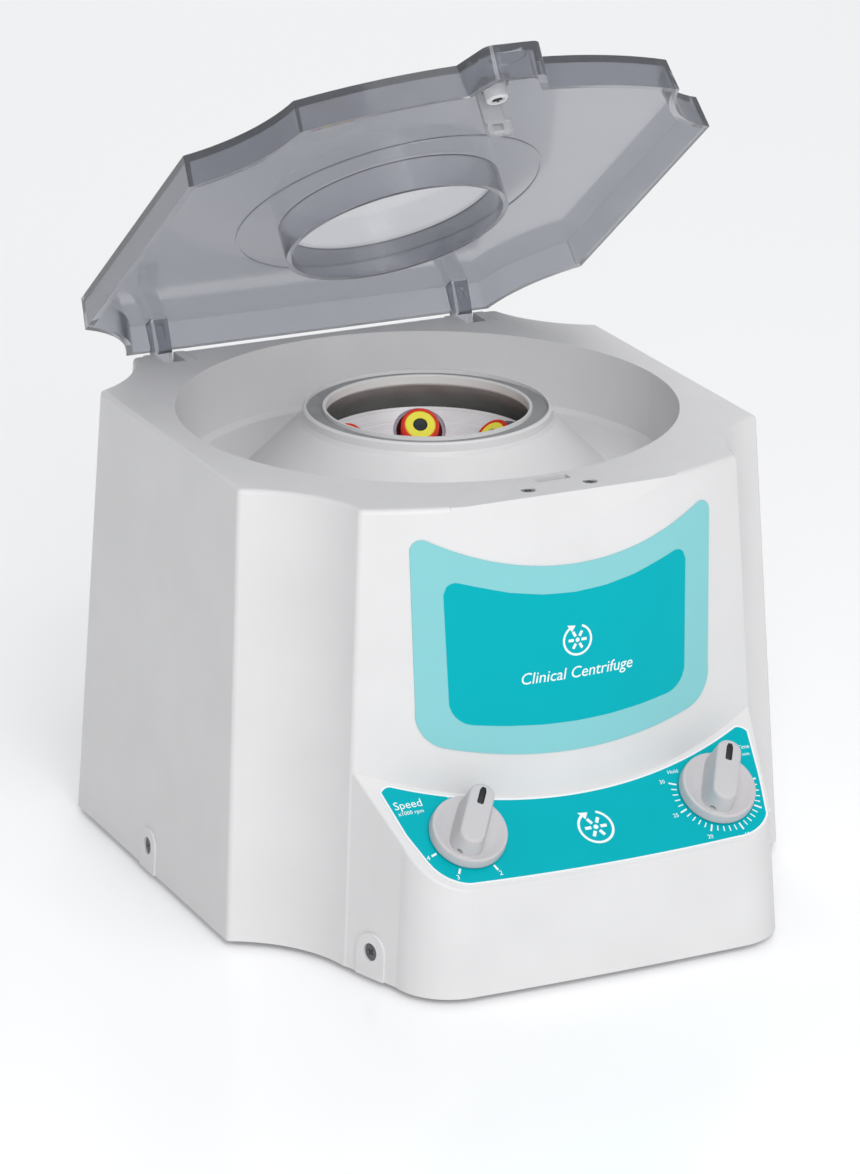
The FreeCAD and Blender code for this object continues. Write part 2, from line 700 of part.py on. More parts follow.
def make_lid():
    rim = d.casing_top + d.lid_gap
    under = d.lid_top - d.lid_wall
    outer = lid_block("lid_outside", 0, rim, d.lid_top)
    inner = lid_block("lid_inside", d.lid_wall, rim - 1, under)
    ring = ring_object("lid_ring", tube_profile(d.lid_ring_r - d.lid_ring_wall, d.lid_ring_r,
                                                d.lid_ring_foot, under + 0.5))
    bead = ring_object("lid_bead", tube_profile(70.2, 71.4, under - 0.5, under + 0.5))
    grip = ring_object("lid_grip", [(0, 221), (9, 221), (8, 222.8), (0, 222.8)])
    grip.Placement = shifted(1, -148, 0)
    arms, cuts = [], []
    for side, x in (("left", d.arm_left_x), ("right", d.arm_right_x)):
        arm = plain_sketch(f"arm_{side}_side", 0, across=x - d.arm_half)
        draw(arm, [(108.5, under + 1), (119, under + 1), (119, rim + 1), (124.6, 198.5),
                   (d.hinge_y + 1, d.hinge_z - d.knuckle_r), (117.2, 193.5), (112, 207)])
        arms.append(prism(f"arm_{side}", arm, d.arm_half * 2))
        gap = plain_sketch(f"arm_gap_{side}_side", 0, across=x - d.arm_half + 2)
        draw(gap, [(111, under), (117.6, under), (117.6, 204), (113.6, 204)])
        cuts.append(prism(f"arm_gap_{side}", gap, d.arm_half * 2 - 2))
        arms.append(cylinder(f"knuckle_{side}", d.knuckle_r, d.arm_half * 2,
                             along((x - d.arm_half, d.hinge_y, d.hinge_z), (1, 0, 0))))
        cuts.append(cylinder(f"pin_bore_{side}", d.pin_r + d.running_fit, 20,
                             along((x - 10, d.hinge_y, d.hinge_z), (1, 0, 0))))
    cuts.append(cylinder("hook_screw_hole", 1.6, 3.4, shifted(2, -127, 217.6)))
    shell = joined("lid_moulding", [cut("lid_walls", outer, inner), ring, bead, grip] + arms)
    keep(cut("lid_shell", shell, joined("lid_cuts", cuts)), "lid_shell", opened())


def make_hook():
    under = d.lid_top - d.lid_wall
    x, half = d.latch_x, d.hook_half
    strip = block("hook_strip", (x - half, d.hook_y, d.hook_foot), (x + half, d.hook_y + d.hook_wall,
                                                                   under))
    flange = block("hook_flange", (x - half, -133, under - 2), (x + half, d.hook_y + 1, under))
    toe = block("hook_toe", (x - half, d.hook_y - 1.6, d.hook_foot), (x + half + 1.2,
                d.hook_y + d.hook_wall, d.hook_foot + 6))
    window = block("hook_window", (x - 2.4, d.hook_y - 4, d.hook_foot + 1.6),
                   (x + 2.4, d.hook_y + 6, d.hook_foot + 4.8))
    bore = cylinder("hook_bore", 2.2, 8, shifted(2, -127, 213))
    keep(cut("lid_hook", joined("hook_solid", [strip, flange, toe]),
             joined("hook_cuts", [window, bore])), "lid_hook", opened())
    spot = shifted(2, -127, 0)
    head = under - 3
    turned("hook_screw", [(0, head - 4), (2.6, head - 4), (3.2, head - 6.2), (4.2, head - 6.2),
                          (4.85, head - 5.4), (4.85, head), (1.6, head), (1.6, under + 2), (0, under + 2)],
           opened().multiply(spot))
    washer = new_body("hook_washer")
    sketch = body_sketch(washer, "XY_Plane", head)
    teeth = []
    for i in range(32):
        radius = 6.6 if i % 2 else 5.6
        teeth.append((radius * math.cos(math.pi * i / 16), radius * math.sin(math.pi * i / 16)))
    draw(sketch, teeth)
    draw_circle(sketch, 0, 0, 1.6)
    pad(washer, sketch, 1)
    keep(washer, "hook_washer", opened().multiply(spot))


def make_hinges():
    brackets, pins = [], []
    for side, x in (("left", d.arm_left_x), ("right", d.arm_right_x)):
        low, high = x - d.bracket_half, x + d.bracket_half
        solid = block(f"bracket_block_{side}", (low, 105, 183), (high, 121.6, 205.8))
        round_end = cylinder(f"bracket_round_{side}", 5, d.bracket_half * 2,
                             along((low, d.hinge_y, d.hinge_z), (1, 0, 0)))
        slot = block(f"bracket_slot_{side}", (x - d.slot_half, 106.5, 188),
                     (x + d.slot_half, 140, 220))
        bore = cylinder(f"bracket_bore_{side}", d.pin_r, 30,
                        along((low - 5, d.hinge_y, d.hinge_z), (1, 0, 0)))
        brackets.append(cut(f"bracket_{side}", joined(f"bracket_solid_{side}", [solid, round_end]),
                            joined(f"bracket_cuts_{side}", [slot, bore])))
        pins.append(cylinder(f"pin_{side}", d.pin_r, d.bracket_half * 2,
                             along((low, d.hinge_y, d.hinge_z), (1, 0, 0))))
    group("hinge_brackets", brackets)
    group("hinge_pins", pins)


# ---------------------------------------------------------------- lid lock
def make_lock():
    x, under = d.latch_x, d.casing_top - d.wall
    low, floor_top = 186, 187.5
    frame = [block("lock_front", (-20, -133.5, low), (22, -132, under)),
             block("lock_ear_left", (-20, -133.5, under - 2), (-8, -124, under)),
             block("lock_ear_right", (12, -133.5, under - 2), (22, -124, under)),
             block("lock_floor", (-6, -133.5, low), (11, -117, floor_top))]
    holes = [cylinder(f"lock_hole_{i}", 1.5, 6, shifted(a, b, under - 4))
             for i, (a, b) in enumerate(LATCH_SCREWS)]
    keep(cut("lock_frame", joined("lock_frame_solid", frame), joined("lock_holes", holes)),
         "lock_frame")
    screws = []
    for i, (a, b) in enumerate(LATCH_SCREWS):
        screw = new_body(f"lock_screw_{i}")
        add_turned(screw, [(0, under - 5), (1.5, under - 5), (1.5, 204), (3, 204), (3.2, 205.4),
                           (0, 205.9)])
        place(screw, shifted(a, b, 0))
        screws.append(screw)
    group("lock_screws", screws)
    level = d.hook_foot + 3.1
    coil = block("coil_block", (x - 6, -132, level - 6), (x + 6, -123.4, level + 2.5))
    bore = block("coil_bore", (x - 1.75, -140, level - 1.35), (x + 1.75, -110, level + 1.35))
    keep(cut("lock_solenoid", coil, bore), "lock_solenoid")
    bolt = block("lock_bolt", (x - 1.7, -131.5, level - 1.3), (x + 1.7, -121.4, level + 1.3))
    keep(bolt, "lock_bolt")
    switch = block("lid_switch_block", (x - 5, -122.8, floor_top), (x + 7, -117, 193.4))
    button_bore = block("button_bore", (x - 1.5, -119.5, 190), (x + 1.5, -117.6, 194))
    keep(cut("lid_switch", switch, button_bore), "lid_switch")
    keep(block("switch_button", (x - 1.45, -119.45, 192.2), (x + 1.45, -117.65, d.hook_foot - 0.1)),
         "switch_button")


# ---------------------------------------------------------------- chamber, seal, posts
def make_chamber():
    turned("collar_seal", tube_profile(d.seal_inner_r, d.seal_outer_r, d.seal_foot, d.seal_top))
    t = d.bowl_wall
    cone = d.cone_top_r + d.cone_top_z - 1.414 * d.wall - 2
    neck_z = d.mouth_z - 1.3
    inner = cone - 1.414 * t
    turned("chamber_bowl", [
        (14, d.bowl_foot), (d.bowl_r - 6, d.bowl_foot), (d.bowl_r + t, d.bowl_foot + 7),
        (d.bowl_r + t, d.bowl_top), (cone - d.bowl_top, d.bowl_top), (cone - neck_z, neck_z),
        (inner - neck_z, neck_z), (inner - d.bowl_top + t, d.bowl_top - t),
        (d.bowl_r, d.bowl_top - t), (d.bowl_r, d.bowl_foot + 7.6), (d.bowl_r - 6.2, d.bowl_foot + t),
        (14, d.bowl_foot + t)])
    posts, mounts = [], []
    for i in range(4):
        angle = math.radians(45 + 90 * i)
        at = shifted(d.post_ring * math.cos(angle), d.post_ring * math.sin(angle), 0)
        post = new_body(f"post_{i}")
        low = d.base_z + d.base_thickness
        add_turned(post, [(0, low), (d.post_r, low), (d.post_r, d.bowl_foot), (0, d.bowl_foot)])
        place(post, at)
        posts.append(post)
    group("bowl_posts", posts)
    for i in range(3):
        angle = math.radians(90 + 120 * i)
        at = shifted(d.mount_ring * math.cos(angle), d.mount_ring * math.sin(angle), 0)
        mount = new_body(f"mount_{i}")
        low, high = d.motor_top + d.plate_thickness, d.bowl_foot
        add_turned(mount, [(0, low), (d.mount_r, low), (d.mount_r - 2, low + 3.5),
                           (d.mount_r, high), (0, high)])
        place(mount, at)
        mounts.append(mount)
    group("rubber_mounts", mounts)


# ---------------------------------------------------------------- rotor and tubes
def tube_frame(number, back=0.0):
    """Placement in a rotor place: Z runs up the tube, and Z = 0 is the top of its cap."""
    azimuth = math.radians(d.first_tube.value + 360 / d.tube_count.value * number)
    outward = Vector(math.sin(azimuth), math.cos(azimuth), 0)
    tilt = math.radians(d.tilt.value)
    up_tube = Z_AXIS * math.cos(tilt) - outward * math.sin(tilt)
    spot = outward * d.cap_ring_r.value + Z_AXIS * d.cap_z.value
    return along(spot - up_tube * back, up_tube)


def make_rotor():
    s, c = sine(d.tilt), cosine(d.tilt)

    def at(run, off):
        """(r, z) at a distance down the tube's axis and off to its outer side."""
        return (d.cap_ring_r + s * run + c * off, d.cap_z - c * run + s * off)

    rim = at(d.dish_depth, d.rotor_rim)
    low = at(d.dish_depth + d.skirt_run, d.rotor_rim)
    low_in = at(d.dish_depth + d.skirt_run, d.rotor_rim - d.rotor_wall)
    rim_in = at(d.dish_depth + d.dish_wall, d.rotor_rim - d.rotor_wall)
    dish_foot = at(d.dish_depth, -d.cap_ring_r * 0.4 - 10)
    under_foot = at(d.dish_depth + d.dish_wall, -d.cap_ring_r * 0.4 - 10)
    body = new_body("rotor_body")
    add_turned(body, [
        rim, low, low_in, rim_in, under_foot, (d.hub_r, d.hub_top - 6), (d.hub_r, d.hub_foot),
        (d.shaft_r, d.hub_foot), (d.shaft_r, d.hub_top), (d.hub_r, d.hub_top), dish_foot])
    tools = []
    for number in range(int(d.tube_count.value)):
        tools.append(cylinder(f"place_bore_{number}", d.sleeve_r, d.dish_wall + 4,
                              tube_frame(number, d.dish_depth.value + d.dish_wall.value + 2)))
        tools.append(cylinder(f"place_seat_{number}", d.flange_r, 4,
                              tube_frame(number, d.dish_depth.value + 1.5)))
    keep(cut("rotor", body, joined("rotor_places", tools)), "rotor")
    turned("rotor_nut", [(d.stud_r, d.hub_top), (12, d.hub_top), (12, d.hub_top + 5), (9, d.hub_top + 13),
                         (0, d.hub_top + 14), (0, d.hub_top + 11), (d.stud_r, d.hub_top + 11)])


def make_tubes():
    sleeves, rings, plugs = [], [], []
    depth = d.dish_depth
    for number in range(int(d.tube_count.value)):
        frame = tube_frame(number)
        sleeve = new_body(f"sleeve_{number}")
        add_turned(sleeve, [
            (0, -d.sleeve_length), (d.sleeve_r - 4, -d.sleeve_length),
            (d.sleeve_r, -d.sleeve_length + 4), (d.sleeve_r, -depth - 1.5),
            (d.flange_r, -depth - 1.5), (d.flange_r, -depth), (d.sleeve_bore + 1.6, -depth),
            (d.sleeve_bore, -depth - 2.4), (d.sleeve_bore, -d.tube_end + 5), (d.tube_r + 0.2, -d.tube_end),
            (0, -d.tube_end)])
        place(sleeve, frame)
        sleeves.append(sleeve)
        glass = new_body(f"glass_{number}")
        bore = d.tube_r - d.tube_wall
        add_turned(glass, [
            (0, -d.tube_end), (d.tube_r * 0.7, -d.tube_end + 1.9), (d.tube_r, -d.tube_end + d.tube_r),
            (d.tube_r, -4), (bore, -4), (bore, -d.tube_end + d.tube_r),
            (bore * 0.68, -d.tube_end + 2.8), (0, -d.tube_end + 1)])
        keep(glass, f"glass_tube_{number + 1}", frame)
        cap = new_body(f"cap_{number}")
        add_turned(cap, [
            (d.cap_r - 0.7, 0), (d.cap_r, -0.9), (d.cap_r, -d.cap_length), (d.tube_r, -d.cap_length),
            (d.tube_r, -2), (7.1, -2), (7.1, 0)])
        keep(cap, f"tube_cap_{number + 1}", frame)
        ring = new_body(f"ring_{number}")
        add_turned(ring, [(3.3, -0.1), (6.6, -0.1), (7.1, -0.6), (7.1, -2), (3.3, -2)])
        place(ring, frame)
        rings.append(ring)
        plug = new_body(f"plug_{number}")
        add_turned(plug, [(0, -0.5), (2.6, -0.2), (3.3, -0.9), (3.3, -2), (6.5, -2), (6.5, -4),
                          (bore, -4), (bore, -11), (0, -11)])
        place(plug, frame)
        plugs.append(plug)
    group("tube_sleeves", sleeves)
    group("cap_rings", rings)
    group("cap_stoppers", plugs)


# ---------------------------------------------------------------- motor
def make_motor():
    r, t = d.motor_r, d.can_wall
    foot, top = d.motor_foot, d.motor_top
    lower, upper = d.lower_bearing_r, d.upper_bearing_r
    turned("motor_can", [(6, foot), (r - 7, foot), (r, foot + 7), (r, top - 10), (r - t, top - 10),
                         (r - t, foot + 9), (r - 9, foot + 3), (lower + 3, foot + 3),
                         (lower + 3, foot + 9), (lower, foot + 9), (lower, foot + 2), (6, foot + 2)])
    turned("motor_top_bell", [(7.5, top), (7.5, top - 1.5), (upper, top - 1.5), (upper, top - 9.5),
                              (upper + 4, top - 9.5), (26, top - 5), (r - 6, top - 10), (r, top - 10),
                              (r, top)])
    plate = new_body("motor_plate")
    sketch = body_sketch(plate, "XY_Plane", top)
    draw_circle(sketch, 0, 0, d.plate_r)
    draw_circle(sketch, 0, 0, 9)
    pad(plate, sketch, d.plate_thickness)
    windows = body_sketch(plate, "XY_Plane", top - 1)
    for i in range(3):
        angle = math.radians(30 + 120 * i)
        draw_circle(windows, 52 * math.cos(angle), 52 * math.sin(angle), 11)
    pocket(plate, windows, 8)
    keep(plate, "motor_plate")
    turned("motor_stator", [
        (d.stator_bore, 36), (28, 36), (28, 32), (r - t - 2, 32), (r - t - 2, 36), (r - t, 36),
        (r - t, 70), (r - t - 2, 70), (r - t - 2, 71.5), (28, 71.5), (28, 70), (d.stator_bore, 70)])
    armature = new_body("armature_core")
    core = body_sketch(armature, "XY_Plane", 36)
    draw_circle(core, 0, 0, d.armature_r)
    draw_circle(core, 0, 0, d.shaft_r)
    pad(armature, core, 34)
    slot = body_sketch(armature, "XY_Plane", 35)
    draw(slot, rectangle(-1.5, 1.5, 17, 30))
    notch = pocket(armature, slot, 40)
    pattern = armature.newObject("PartDesign::PolarPattern", "armature_slots")
    pattern.Originals = [notch]
    pattern.Axis = (slot, ["N_Axis"])
    pattern.Angle = 360
    pattern.Occurrences = 12
    armature.Tip = pattern
    add_turned(armature, tube_profile(d.shaft_r, 12, 69, 79))
    keep(armature, "motor_armature")
    brushes, holders = [], []
    for side, x in (("left", -1), ("right", 1)):
        heading = (x, 0, 0)
        brush = new_body(f"brush_{side}")
        sketch = body_sketch(brush, "XY_Plane", 12.05)
        draw(sketch, rectangle(-2.5, 2.5, -2.5, 2.5))
        pad(brush, sketch, 14)
        place(brush, along((0, 0, 75.5), heading))
        brushes.append(brush)
        holder = new_body(f"brush_holder_{side}")
        sketch = body_sketch(holder, "XY_Plane", 20)
        draw(sketch, rectangle(-3.8, 3.8, -2.9, 2.9))
        draw(sketch, rectangle(-2.5, 2.5, -2.5, 2.5))
        pad(holder, sketch, d.motor_r - d.can_wall - 20.2)
        place(holder, along((0, 0, 75.5), heading))
        holders.append(holder)
    group("carbon_brushes", brushes)
    group("brush_holders", holders)
    turned("motor_shaft", [
        (0, 15), (4, 15), (4, 24), (d.shaft_r, 24), (d.shaft_r, d.hub_top), (d.stud_r, d.hub_top),
        (d.stud_r, d.hub_top + 10.5), (0, d.hub_top + 10.5)])
    bearings = []
    for name, inner, outer, low, high in (("lower", 4, lower, foot + 2, foot + 9),
                                          ("upper", d.shaft_r, upper, top - 9.5, top - 1.5)):
        bearing = new_body(f"bearing_{name}")
        add_turned(bearing, tube_profile(inner + d.running_fit, outer, low, high))
        bearings.append(bearing)
    group("motor_bearings", bearings)


# ---------------------------------------------------------------- controls
def make_knob(label, u, turn):
    """Bar knob with a dished round skirt: its pointer runs along +Y before it is turned."""
    body = new_body(f"{label}_body")
    add_turned(body, [
        (0, d.skirt_foot), (d.skirt_r, d.skirt_foot), (d.skirt_r, d.skirt_foot + 1.4),
        (d.skirt_r - 0.6, d.skirt_top), (d.skirt_r - 1.6, d.skirt_top + 0.3), (9, d.dish_floor),
        (0, d.dish_floor)])
    bar = body_sketch(body, "XY_Plane", d.skirt_foot)
    half, nose, tail = d.bar_half, d.bar_nose, d.bar_tail
    draw(bar, [(half, -tail + half * 0.8), (half, nose - half), (-half, nose - half),
               (-half, -tail + half * 0.8)],
         {1: (half * 1.03, False), 3: (half * 1.03, False)})
    riser = pad(body, bar, d.bar_top - d.skirt_foot)
    bind(riser, "TaperAngle", -d.bar_taper)
    under = body_sketch(body, "XY_Plane", d.skirt_foot - 1)
    draw_circle(under, 0, 0, 13.5)
    pocket(body, under, 3)
    bore = body_sketch(body, "XY_Plane", 0)
    draw_circle(bore, 0, 0, d.spindle_r)
    pocket(body, bore, 12)
    screw = body_sketch(body, "XZ_Plane", 0)
    draw_circle(screw, -1.2, 8.6, 1.5)
    pocket(body, screw, 20)
    groove = body_sketch(body, "XY_Plane", d.bar_top - 1.2)
    draw(groove, rectangle(-d.pointer_half, d.pointer_half, 5.4, 25))
    pocket(body, groove, 3)
    place_on_panel = panel_frame(u, d.dial_v, 0, turn)
    keep(body, f"{label}_knob", place_on_panel)
    pointer = new_body(f"{label}_pointer_body")
    strip = body_sketch(pointer, "XY_Plane", d.bar_top - 1.2)
    draw(strip, rectangle(-d.pointer_half, d.pointer_half, 5.4, 15.5))
    pad(pointer, strip, 1.2)
    keep(pointer, f"{label}_pointer", place_on_panel)


def make_controls():
    for label, u, turn in (("speed", d.speed_u, d.speed_pointer),
                           ("timer", d.timer_u, d.timer_pointer)):
        make_knob(label, u, turn.value)
        frame = panel_frame(u, d.dial_v)
        turned(f"{label}_spindle", [(0, -7.9), (d.spindle_r, -7.9), (d.spindle_r, 11), (0, 11)],
               frame)
    bore = d.spindle_r + d.running_fit
    neck = [(d.bushing_r, -d.wall), (d.bushing_r, 2.6), (bore, 2.6)]
    turned("speed_control", [(0, -14), (12, -14), (12, -d.wall)] + neck + [(bore, -8), (0, -8)],
           panel_frame(d.speed_u, d.dial_v))
    case = new_body("timer_case_body")
    sketch = body_sketch(case, "XY_Plane", -30)
    draw(sketch, rectangle(-20, 20, -14, 24))
    pad(case, sketch, 22)
    add_turned(case, [(bore, -8), (12, -8), (12, -d.wall)] + neck)
    keep(case, "timer_mechanism", panel_frame(d.timer_u, d.dial_v))


# ---------------------------------------------------------------- electrics
def make_electrics():
    x, z, face = d.inlet_x, d.inlet_z, d.pad_y
    body = new_body("power_inlet_body")
    flange = body_sketch(body, "XZ_Plane", -face - 2.4)
    draw(flange, [(x - 19, z - 12), (x + 19, z - 12), (x + 25, z), (x + 19, z + 12), (x - 19, z + 12),
                  (x - 25, z)])
    pad(body, flange, 2.4)
    trunk = body_sketch(body, "XZ_Plane", -face)
    draw(trunk, rectangle(x - 13.5, x + 13.5, z - 10, z + 10))
    pad(body, trunk, 20)
    socket = body_sketch(body, "XZ_Plane", -face - 2.5)
    draw(socket, [(x - 12, z - 8), (x + 12, z - 8), (x + 12, z + 3.5), (x + 7.5, z + 8), (x - 7.5, z + 8),
                  (x - 12, z + 3.5)])
    pocket(body, socket, 17)
    keep(body, "power_inlet")
    pins = []
    for i, (du, dz) in enumerate(((-7, -2), (0, 2), (7, -2))):
        pins.append(block(f"inlet_pin_{i}", (x + du - 1, face - 22, z + dz - 2),
                          (x + du + 1, face + 0.5, z + dz + 2)))
    group("inlet_pins", pins)
    turned("fuse_holder", [(0, -24), (6.3, -24), (6.3, 0), (9, 0), (9, 1.6), (7.2, 1.8), (7.2, 7.6),
                           (6.4, 8.4), (0, 8.4)], along((d.fuse_x, face, 44), (0, 1, 0)))
    board = new_body("control_board_body")
    sketch = body_sketch(board, "XY_Plane", 15)
    draw(sketch, rectangle(-118, -76, -50, 34))
    pad(board, sketch, 1.6)
    for spot in ((-114, -46), (-80, -46), (-114, 30), (-80, 30)):
        leg = body_sketch(board, "XY_Plane", d.base_z + d.base_thickness)
        draw_circle(leg, spot[0], spot[1], 2.6)
        pad(board, leg, 8.2)
    keep(board, "control_board")


# ---------------------------------------------------------------- build, check, write
make_casing()
make_base()
make_feet()
make_casing_screws()
make_front_label()
make_panel_film()
make_lid()
make_hook()
make_hinges()
make_lock()
make_chamber()
make_rotor()
make_tubes()
make_motor()
make_controls()
make_electrics()
doc.recompute()

faults = [f"{o.Label}: {o.State}" for o in doc.Objects
          if "Invalid" in o.State or "Error" in o.State]
for part in SUBPARTS:
    if part.Shape.isNull() or not part.Shape.isValid() or part.Shape.Volume <= 0:
        faults.append(f"{part.Label}: no valid shape")
if faults:
    raise SystemExit("\n".join(faults))

os.makedirs("parts", exist_ok=True)
for part in SUBPARTS:
    part.Shape.exportStep(f"parts/{part.Label}.step")
print(len(SUBPARTS), "sub-parts written")
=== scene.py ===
import json
import math

import bmesh
import bpy
from mathutils import Matrix, Quaternion, Vector
from mathutils.bvhtree import BVHTree


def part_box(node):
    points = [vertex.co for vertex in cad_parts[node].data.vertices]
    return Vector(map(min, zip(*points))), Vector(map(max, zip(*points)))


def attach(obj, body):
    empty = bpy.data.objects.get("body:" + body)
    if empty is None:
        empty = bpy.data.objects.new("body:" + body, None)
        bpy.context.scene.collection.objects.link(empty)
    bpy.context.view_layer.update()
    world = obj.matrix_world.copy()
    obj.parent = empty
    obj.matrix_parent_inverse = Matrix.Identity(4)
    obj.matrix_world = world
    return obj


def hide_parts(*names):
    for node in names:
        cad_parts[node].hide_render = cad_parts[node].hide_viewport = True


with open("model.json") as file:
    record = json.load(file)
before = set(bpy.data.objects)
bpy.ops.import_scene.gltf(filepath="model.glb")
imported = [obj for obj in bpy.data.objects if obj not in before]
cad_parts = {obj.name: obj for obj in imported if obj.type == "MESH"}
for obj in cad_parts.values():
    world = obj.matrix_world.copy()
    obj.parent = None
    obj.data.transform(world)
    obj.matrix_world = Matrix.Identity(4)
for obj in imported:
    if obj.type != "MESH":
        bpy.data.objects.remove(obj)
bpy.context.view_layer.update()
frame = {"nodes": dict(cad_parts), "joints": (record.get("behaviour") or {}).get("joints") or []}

# Looks for a bench-top clinical centrifuge. Metres, in the frame of the CAD:
# +Z up from the bench, +Y to the rear, +X to the right of a person at the control panel.
MM = 0.001
NODES = frame["nodes"]
JOINTS = {joint["name"]: joint for joint in frame["joints"]}
BASE, LID = "centrifuge_base", "lid"
LID_OPEN = math.radians(38.1)


# ------------------------------------------------------------------ materials
class Look:
    """A node material under construction, on one Principled shader."""

    def __init__(self, name, color, roughness, metallic=0.0, specular=0.5, coat=0.0):
        self.material = bpy.data.materials.new(name)
        self.material.use_nodes = True
        self.material.diffuse_color = (*color, 1)
        self.tree = self.material.node_tree
        self.shader = self.tree.nodes["Principled BSDF"]
        self.set("Base Color", (*color, 1))
        self.set("Roughness", roughness)
        self.set("Metallic", metallic)
        self.set("Specular IOR Level", specular)
        self.set("Coat Weight", coat)
        self.set("Coat Roughness", 0.08)
        self.color = color
        self.roughness = roughness
        self.height = None
        self.place = self.node("ShaderNodeTexCoord").outputs["Object"]

    def set(self, name, value):
        self.shader.inputs[name].default_value = value

    def node(self, kind, **settings):
        made = self.tree.nodes.new(kind)
        for name, value in settings.items():
            setattr(made, name, value)
        return made

    def link(self, source, target):
        self.tree.links.new(source, target)

    def math(self, operation, a, b=0.0):
        made = self.node("ShaderNodeMath", operation=operation)
        for socket, value in zip(made.inputs, (a, b)):
            if isinstance(value, (int, float)):
                socket.default_value = value
            else:
                self.link(value, socket)
        return made.outputs[0]

    def scaled(self, source, low, high, start=0.0, end=1.0):
        made = self.node("ShaderNodeMapRange")
        self.link(source, made.inputs["Value"])
        for name, value in (("From Min", start), ("From Max", end),
                            ("To Min", low), ("To Max", high)):
            made.inputs[name].default_value = value
        return made.outputs["Result"]

    def noise(self, scale, detail=3.0, vector=None):
        made = self.node("ShaderNodeTexNoise")
        made.inputs["Scale"].default_value = scale
        made.inputs["Detail"].default_value = detail
        self.link(vector or self.place, made.inputs["Vector"])
        return made.outputs["Fac"]

    def blotch(self, scale, darker, lighter, detail=2.0):
        """Slow colour variation between two multiples of the base colour."""
        mix = self.node("ShaderNodeMix", data_type="RGBA")
        self.link(self.scaled(self.noise(scale, detail), 0, 1, 0.3, 0.7), mix.inputs["Factor"])
        for socket, share in ((6, darker), (7, lighter)):
            mix.inputs[socket].default_value = (*(c * share for c in self.color), 1)
        self.link(mix.outputs[2], self.shader.inputs["Base Color"])
        return self

    def rub(self, scale, spread):
        """Roughness that varies around its set value."""
        source = self.noise(scale, 4)
        self.link(self.scaled(source, self.roughness - spread, self.roughness + spread, 0.3, 0.7),
                  self.shader.inputs["Roughness"])
        return self

    def bump(self, source, depth, strength=1.0):
        made = self.node("ShaderNodeBump")
        made.inputs["Strength"].default_value = strength
        made.inputs["Distance"].default_value = depth
        self.link(source, made.inputs["Height"])
        if self.height is not None:
            self.link(self.height, made.inputs["Normal"])
        self.height = made.outputs["Normal"]
        self.link(self.height, self.shader.inputs["Normal"])
        return self

    def grain(self, scale, depth, strength=1.0, detail=3.0):
        return self.bump(self.noise(scale, detail), depth, strength)

    def turned_rings(self, scale, depth, strength=1.0):
        """Fine circular tool marks around the vertical axis."""
        split = self.node("ShaderNodeSeparateXYZ")
        self.link(self.place, split.inputs[0])
        squares = [self.math("MULTIPLY", split.outputs[i], split.outputs[i]) for i in (0, 1)]
        radius = self.math("SQRT", self.math("ADD", *squares))
        join = self.node("ShaderNodeCombineXYZ")
        self.link(radius, join.inputs[0])
        self.link(split.outputs[2], join.inputs[1])
        marks = self.noise(scale, 4, join.outputs[0])
        self.link(self.scaled(marks, self.roughness - 0.09, self.roughness + 0.12, 0.35, 0.65),
                  self.shader.inputs["Roughness"])
        return self.bump(marks, depth, strength)


def plastic(name, color, roughness=0.45, grain=(5200, 0.00003), specular=0.45, coat=0.0):
    look = Look(name, color, roughness, specular=specular, coat=coat)
    return look.blotch(26, 0.975, 1.02).rub(60, 0.035).grain(*grain).material


def film(name, color, roughness=0.34):
    look = Look(name, color, roughness, specular=0.08)
    return look.blotch(40, 0.99, 1.01).rub(90, 0.015).grain(2600, 0.000005).material


def rubber(name, color, roughness=0.7):
    look = Look(name, color, roughness, specular=0.3)
    return look.blotch(60, 0.9, 1.08).rub(150, 0.06).grain(3800, 0.00006).material


def brushed(name, color, roughness=0.3, rings=2600, metallic=1.0):
    look = Look(name, color, roughness, metallic=metallic)
    return look.blotch(45, 0.95, 1.02).turned_rings(rings, 0.00001, 0.5).material


def plated(name, color, roughness=0.35, metallic=1.0):
    look = Look(name, color, roughness, metallic=metallic)
    return look.blotch(120, 0.9, 1.04).rub(220, 0.07).grain(3000, 0.00002, 0.6).material


def clear(name, color, roughness, ior=1.49, weight=1.0):
    look = Look(name, color, roughness)
    look.set("Transmission Weight", weight)
    look.set("IOR", ior)
    return look.blotch(9, 0.97, 1.02).rub(35, 0.02).grain(240, 0.00001, 0.35).material


SMOKE, THIN_SMOKE = (0.47, 0.48, 0.525), (0.92, 0.925, 0.96)
LID_TOP = 221.6 * MM  # height of the closed lid's outer face
WINDOW_INNER, WINDOW_OUTER = 47 * MM, 52 * MM  # where the thinner middle ends


def lid_look():
    """Smoked clear plastic, thinner and so paler inside the lid's ring."""
    look = Look("lid_smoked", SMOKE, 0.09)
    look.set("Transmission Weight", 0.87)
    look.set("IOR", 1.46)
    hinge = Vector(JOINTS["lid_hinge"]["pos_m"])
    turn = Matrix.Rotation(-LID_OPEN, 3, "X")
    middle = hinge + turn @ (Vector((0, 0, LID_TOP)) - hinge)
    away = look.node("ShaderNodeVectorMath", operation="DISTANCE")
    look.link(look.place, away.inputs[0])
    away.inputs[1].default_value = middle
    inside = look.scaled(away.outputs["Value"], 1, 0, WINDOW_INNER, WINDOW_OUTER)
    mix = look.node("ShaderNodeMix", data_type="RGBA")
    look.link(inside, mix.inputs["Factor"])
    mix.inputs[6].default_value = (*SMOKE, 1)
    mix.inputs[7].default_value = (*THIN_SMOKE, 1)
    look.link(mix.outputs[2], look.shader.inputs["Base Color"])
    return look.rub(35, 0.02).grain(240, 0.00001, 0.35).material


